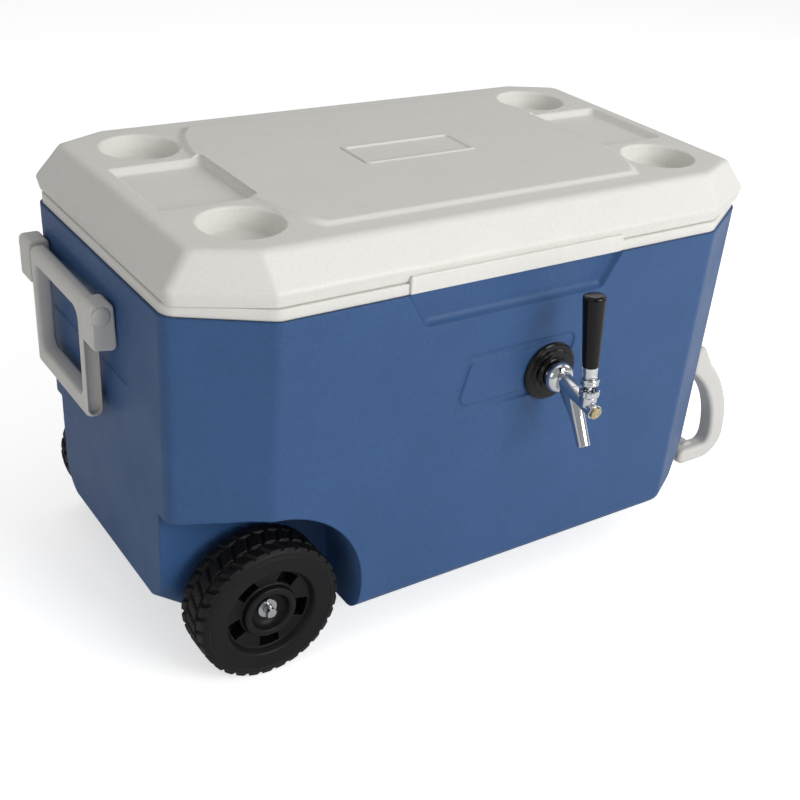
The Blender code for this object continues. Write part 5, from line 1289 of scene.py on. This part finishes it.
@dataclass
class TowHandle:
    """The hooked tow handle: two bowed arms and a round grip."""

    wall: float = 331.91 * MM
    gap: float = 0.3 * MM
    half_width: float = 142 * MM
    arm: float = 22 * MM
    pivot: float = 196 * MM
    eye: float = 9.5 * MM
    reach: float = 75 * MM
    bow: float = 140 * MM
    toe: float = 33 * MM
    toe_height: float = 77 * MM
    band: float = 24 * MM
    hook: float = 20 * MM
    tip: float = 13 * MM
    grip_radius: float = 11.5 * MM
    grip_out: float = 25 * MM
    grip_height: float = 55.5 * MM
    pin: float = 4 * MM
    pin_depth: float = 12 * MM
    pin_inner: float = 19.7 * MM

    def outline(self) -> Outline:
        """Draws the arm's outline.

        Returns:
            The outline, anticlockwise: x outwards, z upwards.
        """
        start, out = self.wall + self.gap, self.wall + self.reach
        centre, low = (out - self.bow, self.toe_height), self.toe_height - self.toe
        inner = self.bow - self.band
        points = arc(centre, self.bow, self.bow, 0, 46, 14)
        points += arc((start + self.eye, self.pivot), self.eye, self.eye, 40, 180, 12)
        points += [(start, self.toe_height + inner * math.sin(math.radians(57)))]
        points += arc(centre, inner, inner, 54, 0, 16)
        turn = out - self.toe
        points += arc((turn, self.toe_height), self.toe - self.band, self.toe - self.hook, -8, -90, 10)
        points += arc((start + self.tip, low + self.hook / 2), self.hook / 2, self.hook / 2, 90, 270, 12)
        points += arc((turn, self.toe_height), self.toe, self.toe, -90, -8, 12)
        return [Vector(p) for p in points]

    def build(self) -> None:
        """Makes and dresses the handle, brackets and pins."""
        outline, face = self.outline(), self.half_width - self.arm
        arms = [prism(outline, 1, *sorted((side * face, side * self.half_width)), 5 * MM) for side in (-1, 1)]
        handle = solid("tow_handle_moulding", arms[0])
        span = self.half_width - self.arm / 2
        bar = on_axis(rod(self.grip_radius, -span, span), "y", (self.wall + self.grip_out, 0, self.grip_height))
        carve(handle, [arms[1], bar], "UNION")

        def pin(side: int, radius: float, inner: float, outer: float) -> Solid:
            """A rod on the pivot's axis, from inside an arm's inner face to outside it."""
            near, far = sorted((side * (face - inner), side * (face + outer)))
            return on_axis(rod(radius, near, far), "y", (self.wall + self.gap + self.eye, 0, self.pivot))

        carve(handle, [pin(side, self.pin + self.gap, 12 * MM, self.pin_depth + self.gap) for side in (-1, 1)])
        dress(handle, GREY_HANDLE, "tow", ["tow_handle"], 40)
        carry(GREY_HANDLE, "front_tow_bracket", "rear_tow_bracket")
        for word, side in (("front", -1), ("rear", 1)):
            item = solid(f"{word}_tow_pivot", pin(side, self.pin, self.pin_inner, self.pin_depth))
            dress(item, ZINC, "tub", [f"{word}_tow_pin"], 40)


@dataclass
class Faucet:
    """Flange, coupling collar, faucet body with a slanted spout, bonnet, lever and black handle."""

    x: float = 50.3 * MM
    height: float = 271.4 * MM
    flange_face: float = -198.38 * MM
    lip: float = -221.73 * MM
    back: float = -207.73 * MM
    rear: float = -215.85 * MM
    tilt: float = 13.4
    length: float = 50 * MM
    ball_y: float = -258.70 * MM
    ball_z: float = 272.99 * MM
    lean: float = 7.0
    slant: float = 28.0
    bore: float = 5.6 * MM

    def flange(self) -> None:
        """The stepped black dome against the wall."""
        profile = [(11.1, 9.0), (13.0, 9.0), (15.2, 8.7), (16.6, 7.9), (17.2, 6.6), (17.8, 5.6), (19.2, 5.2),
                   (21.6, 5.4), (23.2, 4.9), (23.9, 3.9), (24.6, 3.3), (26.4, 3.3), (28.6, 3.1), (30.1, 2.4),
                   (30.9, 1.3), (31.0, 0.4), (30.7, 0.0), (11.1, 0.0)]
        matrix = Matrix.Translation((self.x, self.flange_face, self.height)) @ AXES["y"].inverted()
        bm = moved(turned(metres(profile), 96), matrix)
        dress(solid("faucet_wall_flange", bm), BLACK_GLOSS, "tub", ["faucet_flange"], 30)

    def collar(self) -> None:
        """The round coupling nut, with a rolled front edge and spanner holes."""
        long, bore = (self.back - self.lip) / MM, 11.1
        profile = [(bore, long), (12.6, long), (13.2, long - 0.6), (13.2, 10.6), (13.4, 9.9), (15.4, 9.5), (16.0, 8.6),
                   (15.9, 6.6), (15.2, 4.2), (13.8, 2.1), (12.0, 0.7), (10.4, 0.1), (8.9, 0.0), (8.9, long - 8.2),
                   (bore, long - 8.2)]
        item = solid("coupling_nut", on_axis(turned(metres(profile), 72), "y", (self.x, self.lip, self.height)))
        holes = []
        for k in range(4):
            turn = Matrix.Rotation(math.radians(20 + 90 * k), 4, "Y")
            hole = rod(1.5 * MM, 11.9 * MM, 20 * MM, 20)
            holes.append(moved(hole, Matrix.Translation((self.x, self.lip + 12.2 * MM, self.height)) @ turn))
        carve(item, holes)
        dress(item, CHROME, "tub", ["coupling_collar"], 35)

    def body(self) -> None:
        """The cast body: neck, tilted barrel, tower and tapering spout, bored through."""
        mouth, ball = (self.x, self.lip, self.height), Matrix.Translation((self.x, self.ball_y, self.ball_z))
        tilted = Matrix.Translation(mouth) @ Matrix.Rotation(math.radians(self.tilt), 4, "X")
        neck = rod(8.6 * MM, -2.5 * MM, self.rear - 0.3 * MM - self.lip, 64, ease=0.8 * MM)
        item = solid("faucet_casting", on_axis(neck, "y", mouth))
        long = self.length
        barrel = moved(rod(7.4 * MM, -long, 0.0, 64, 8.6 * MM), tilted @ AXES["y"])
        head = moved(rod(7.8 * MM, -long, 24 * MM - long, 64, 7.4 * MM, 0.7 * MM), tilted @ AXES["y"])
        tower = moved(rod(8.4 * MM, -10.4 * MM, 0.0, 64, ease=0.6 * MM), ball)
        root = tilted @ Vector((0, 36 * MM - long, 0))
        place = Matrix.Translation(root) @ Matrix.Rotation(-math.radians(self.slant), 4, "X")
        spout = moved(rod(6.9 * MM, -57 * MM, 0.0, 64, 7.6 * MM, 0.7 * MM), place)
        rows = metres(((3, 4.5, 13.5, 7.9), (-6, 4.0, 12.4, 7.8), (-15, 2.6, 10.4, 7.6), (-24, 1.2, 8.6, 7.4),
                       (-34, 0.3, 7.6, 7.2), (-44, 0.0, 7.1, 7.1)))
        turns = [math.pi * k / 24 for k in range(48)]
        flare = loft([[(wide * math.cos(t), toward + deep * math.sin(t), down) for t in turns]
                      for down, toward, deep, wide in rows])
        carve(item, [barrel, head, tower, spout, moved(flare, place)], "UNION")
        bore = moved(rod(self.bore, -long - 12 * MM, 0.0), tilted @ AXES["y"])
        throat = on_axis(rod(self.bore, -6 * MM, self.rear + 12 * MM - self.lip), "y", mouth)
        down = moved(rod(4.7 * MM, -69 * MM, 2.8 * MM), place)
        well = moved(rod(4.9 * MM, -10.4 * MM, 12 * MM), ball)
        carve(item, [bore, throat, down, well])
        dress(item, CHROME, "tub", ["faucet_body"], 35)
        screw = metres(((0.0, 3.1), (2.4, 3.1), (2.7, 2.8), (3.0, 3.1), (5.4, 3.1), (6.2, 2.7), (6.4, 2.0), (6.4, 0.4),
                        (5.3, 0.4), (5.3, -3), (0.0, -3)))
        cap = moved(turned(screw, 64), tilted @ Matrix.Translation((0, -long, 0)) @ AXES["y"].inverted())
        dress(solid("faucet_end_screw", cap), BRASS, "tub", ["front_cap_screw"], 30)

    def bonnet(self) -> None:
        """The fluted bonnet that holds the lever's ball."""
        flutes, low, high = 14, 0.3, 6.9
        rings = []
        for height, move in metres(((low, -0.7), (low + 0.8, 0.0), (high - 0.9, 0.0), (high, -0.9))):
            ring = []
            for turn in (2 * math.pi * k / (8 * flutes) for k in range(8 * flutes)):
                radius = 10 * MM - 0.6 * MM * (0.5 + 0.5 * math.cos(flutes * turn)) ** 1.5 + move
                ring.append((radius * math.cos(turn), radius * math.sin(turn), height))
            rings.append(ring)
        place = Matrix.Translation((self.x, self.ball_y, self.ball_z))
        item = solid("faucet_bonnet_fluted", moved(loft(rings), place))
        carve(item, [moved(rod(4.9 * MM, 0.0, 18.9 * MM, 48, 7.9 * MM), place)])
        dress(item, CHROME, "tub", ["faucet_bonnet"], 35)

    def lever(self) -> None:
        """Ball, stem, collar, ferrule and handle, all leaning back together."""
        place = Matrix.Translation((self.x, self.ball_y, self.ball_z))
        place = place @ Matrix.Rotation(-math.radians(self.lean), 4, "X")
        inner, above, top = 3.3, 9.5, 71.0
        stem = [(0.0, 32), (3, 32), (3, 3.5)] + arc((0.0, 0.0), 4.6, 4.6, 48, -66, 19)
        stem += [(1.8, -4.4), (1.8, -11.4), (1.3, -12), (0.0, -12)]
        nut = [(inner, 8.5), (8.4, 8.5), (9.3, 8.1), (9.7, 7.2), (9.6, 5.6), (8.7, 5.1), (8.6, 4.6), (9.2, 4.2),
               (9.3, 2.9), (8.6, 1.7), (6.6, 0.5), (5.4, 0.0), (inner, 0.0)]
        ferrule = [(inner, 11.5), (7.0, 11.5), (7.45, 11.2), (7.6, 10.6), (7.3, 5.5), (7.15, 3.0), (7.4, 1.2),
                   (7.6, 0.6), (7.2, 0.0), (inner, 0.0)]
        grip = [(0.0, top), (8.6, top), (9.9, top - 0.35), (10.9, top - 1.3), (11.35, top - 2.7), (11.3, top - 4.5),
                (8.15, 1.0), (7.9, 0.2), (7.5, 0.0), (inner, 0.0), (inner, 2.2), (0.0, 2.2)]
        for name, profile, lift, steps, finish, node in (
                ("lever_and_ball", stem, 0.0, 48, CHROME, "tap_lever"),
                ("lever_collar_nut", nut, above, 64, CHROME, "lever_collar"),
                ("handle_ferrule_turned", ferrule, above + 8.8, 64, CHROME, "handle_ferrule"),
                ("tap_handle_moulding", grip, above + 20.6, 96, BLACK_GLOSS, "tap_handle")):
            up = Matrix.Translation((0, 0, lift * MM))
            dress(solid(name, moved(turned(metres(profile), steps), place @ up)), finish, "lever", [node], 35)

    def build(self) -> None:
        """Makes and dresses the faucet and what it screws to."""
        self.flange()
        self.collar()
        self.body()
        self.bonnet()
        self.lever()
        carry(BRASS, "plunger")
        for side in ("front", "rear"):
            carry(CHROME, *(f"{side}_{piece}" for piece in ("shank", "shank_nut", "tail_stem", "tail_nut")))
        carry(BLACK_GLOSS, "inlet_flange")


@dataclass
class Cooling:
    """The steel coil in the tub and the two hoses to the shanks."""

    x: float = 60 * MM
    floor: float = 107.37 * MM
    radius: float = 75 * MM
    tube: float = 3.97 * MM
    pitch: float = 11 * MM
    loops: float = 9.5
    riser_out: float = 15 * MM
    bend: float = 12 * MM
    rise: float = 14 * MM
    start: float = 30.0
    hose: float = 4.75 * MM
    tap_x: float = 50.3 * MM
    tap_height: float = 271.4 * MM
    fitting: float = 22.6 * MM
    stiffness: float = 60 * MM

    def path(self) -> list[Vector]:
        """Draws the coil's centre line: down the riser, round the loops and out at the top.

        Returns:
            The points along it.
        """
        top = self.floor + self.pitch * self.loops
        rise = top + self.rise
        outside = self.radius + self.riser_out
        turn = self.bend / outside
        steps = 48
        points = [(outside, 0.0, rise + (self.floor + self.bend - rise) * k / 12) for k in range(12)]
        points += [(outside, turn * end, self.floor + self.bend * side) for side, end in quarter(8)]
        for k in range(1, int(self.loops * steps) + 1):
            share = min(1.0, k / (steps / 2))
            eased = share * share * (3 - 2 * share)
            points.append((outside + (self.radius - outside) * eased, turn + 2 * math.pi * k / steps,
                           self.floor + self.pitch * k / steps))
        last = turn + 2 * math.pi * self.loops
        turn = self.bend / self.radius
        points += [(self.radius, last + turn * (1 - side), top + self.bend * end) for side, end in quarter(8)[1:]]
        points.append((self.radius, last + turn, rise))
        begin = math.radians(self.start)
        return [Vector((self.x + r * math.cos(begin + a), r * math.sin(begin + a), z)) for r, a, z in points]

    def line(self, word: str, tip: Vector, side: int, stem: float) -> None:
        """Makes one hose, from the coil's fitting up and over to a shank's tail.

        Args:
            word: inlet or outlet.
            tip: the end of the coil that it starts from.
            side: -1 for the front wall, 1 for the rear.
            stem: how far from the middle the tail's stem ends.
        """
        start = tip + Vector((0, 0, self.fitting))
        end = Vector((self.tap_x, side * stem, self.tap_height))
        a, b = start + Vector((0, 0, 2 * self.hose)), end - Vector((0, side * 2 * self.hose, 0))
        over, away = a + Vector((0, 0, self.stiffness)), b - Vector((0, side * self.stiffness, 0))
        points = [start]
        for t in (k / 40 for k in range(41)):
            s = 1 - t
            points.append(a * s ** 3 + over * 3 * s * s * t + away * 3 * s * t * t + b * t ** 3)
        item = swept(f"{word}_vinyl_line", points + [end], self.hose, 24)
        dress(item, HOSE, "tub", [f"{word}_beer_line"], 60)

    def build(self) -> None:
        """Makes and dresses the coil, its fittings and hoses."""
        points = self.path()
        dress(swept("steel_coil", points, self.tube), STAINLESS, "tub", ["cooling_coil"], 60)
        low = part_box("inlet_beer_line")[1].y - SHIFT.y
        high = -(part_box("outlet_beer_line")[0].y - SHIFT.y)
        self.line("inlet", points[0], 1, low)
        self.line("outlet", points[-1], -1, high)
        carry(CHROME, "inlet_line_fitting", "outlet_line_fitting")
        carry(WHITE_LID, "drain_spout", "drain_nut", "drain_cap")


@dataclass(frozen=True)
class Studio:
    """Pale floor, soft lamps and the camera; its numbers come from fitting the photograph."""

    eye: Point = (-0.6959, -1.0143, 0.8331)
    gaze: Point = (0.5202, 0.6999, -0.4894)
    roll: float = 4.86
    shift: tuple[float, float] = (-0.0408, 0.0118)
    sensor: float = 36.0
    lens: float = 1241.5 / 800    # focal length as a share of the frame's width
    floor_half: float = 6.0
    floor_drop: float = 0.5 * MM
    floor_glow: float = 0.55
    world_light: float = 0.36

    def lamp(self, name: str, place: Point, target: Point, size: tuple[float, float], power: float) -> None:
        """One soft rectangular lamp.

        Args:
            name: the lamp's name.
            place: where it hangs.
            target: what it faces.
            size: its width and height.
            power: its power in watts.
        """
        data = bpy.data.lights.new(name, "AREA")
        data.shape, data.size, data.size_y, data.energy = "RECTANGLE", size[0], size[1], power
        item = bpy.data.objects.new(name, data)
        item.location = place
        item.rotation_euler = (Vector(target) - Vector(place)).to_track_quat("-Z", "Y").to_euler()
        bpy.context.scene.collection.objects.link(item)

    def floor(self) -> None:
        """A wide pale floor that shows white to the lens and keeps soft shadows."""
        bm = bmesh.new()
        bmesh.ops.create_grid(bm, x_segments=1, y_segments=1, size=self.floor_half)
        mesh = bpy.data.meshes.new("studio_floor")
        bm.to_mesh(mesh)
        bm.free()
        item = bpy.data.objects.new("studio_floor", mesh)
        item.location = (0, 0, -self.floor_drop)
        bpy.context.scene.collection.objects.link(item)
        made = bpy.data.materials.new("white_sweep_paper")
        made.use_nodes = True
        tree = made.node_tree
        shader = tree.nodes["Principled BSDF"]
        shader.inputs["Base Color"].default_value = linear("F4F4F4")
        shader.inputs["Roughness"].default_value = 0.9
        shader.inputs["Emission Color"].default_value = (1, 1, 1, 1)
        path = add_node(tree, "LightPath")
        seen = add_node(tree, "Math", {"operation": "MAXIMUM"},
                        {0: path.outputs["Is Camera Ray"], 1: path.outputs["Is Transmission Ray"]})
        lift = add_node(tree, "Math", {"operation": "MULTIPLY", 1: self.floor_glow}, {0: seen.outputs[0]})
        tree.links.new(lift.outputs[0], shader.inputs["Emission Strength"])
        mesh.materials.append(made)

    def world(self) -> None:
        """Even pale surroundings, and plain white wherever the lens looks past the object or through a hose."""
        world = bpy.data.worlds.new("studio_world")
        bpy.context.scene.world = world
        world.use_nodes = True
        tree = world.node_tree
        base = tree.nodes["Background"]
        base.inputs["Color"].default_value = linear("FFFFFF")
        base.inputs["Strength"].default_value = self.world_light
        white = add_node(tree, "Background", {"Color": (1, 1, 1, 1), "Strength": 1.0})
        path = add_node(tree, "LightPath")
        seen = add_node(tree, "Math", {"operation": "MAXIMUM"},
                        {0: path.outputs["Is Camera Ray"], 1: path.outputs["Is Transmission Ray"]})
        mix = add_node(tree, "MixShader", {}, {0: seen.outputs[0], 1: base.outputs[0], 2: white.outputs[0]})
        tree.links.new(mix.outputs[0], tree.nodes["World Output"].inputs["Surface"])

    def camera(self) -> None:
        """A camera at the photograph's angle."""
        forward = Vector(self.gaze).normalized()
        right = forward.cross(Vector((0, 0, 1))).normalized()
        up = right.cross(forward)
        roll = math.radians(self.roll)
        across = right * math.cos(roll) + up * math.sin(roll)
        upward = up * math.cos(roll) - right * math.sin(roll)
        data = bpy.data.cameras.new("photo_camera")
        data.sensor_width = self.sensor
        data.lens = self.lens * self.sensor
        data.shift_x, data.shift_y = self.shift
        data.clip_start, data.clip_end = 0.01, 50
        item = bpy.data.objects.new("photo_camera", data)
        matrix = Matrix((across, upward, -forward)).transposed().to_4x4()
        matrix.translation = Vector(self.eye) + SHIFT
        item.matrix_world = matrix
        bpy.context.scene.collection.objects.link(item)
        bpy.context.scene.camera = item

    def build(self) -> None:
        """Sets the whole studio up."""
        bpy.context.scene.view_settings.view_transform = "Standard"
        self.camera()
        self.floor()
        self.world()
        middle = (0.0, 0.0, 0.25)
        self.lamp("front_key", (0.9, -2.7, 1.55), middle, (1.8, 1.4), 60)
        self.lamp("right_side", (2.6, -0.4, 1.6), middle, (1.4, 1.4), 10)
        self.lamp("overhead", (0.2, 0.3, 2.8), middle, (2.0, 1.6), 8)
        self.lamp("left_fill", (-2.4, -0.6, 1.2), middle, (1.2, 1.2), 5.5)


def main() -> None:
    """Builds the studio and every sub-assembly in order."""
    logging.basicConfig(level=logging.INFO, format="%(name)s: %(message)s")
    for item in list(bpy.data.objects):
        if item.type in {"LIGHT", "CAMERA"} or item.name == "Cube":
            bpy.data.objects.remove(item)
    Studio().build()
    Tub().build()
    Lid().build()
    wheel = Wheel()
    wheel.build("front", -1)
    wheel.build("rear", 1)
    wheel.gear()
    Bail().build()
    TowHandle().build()
    Faucet().build()
    Cooling().build()


if __name__ == "__main__":
    main()
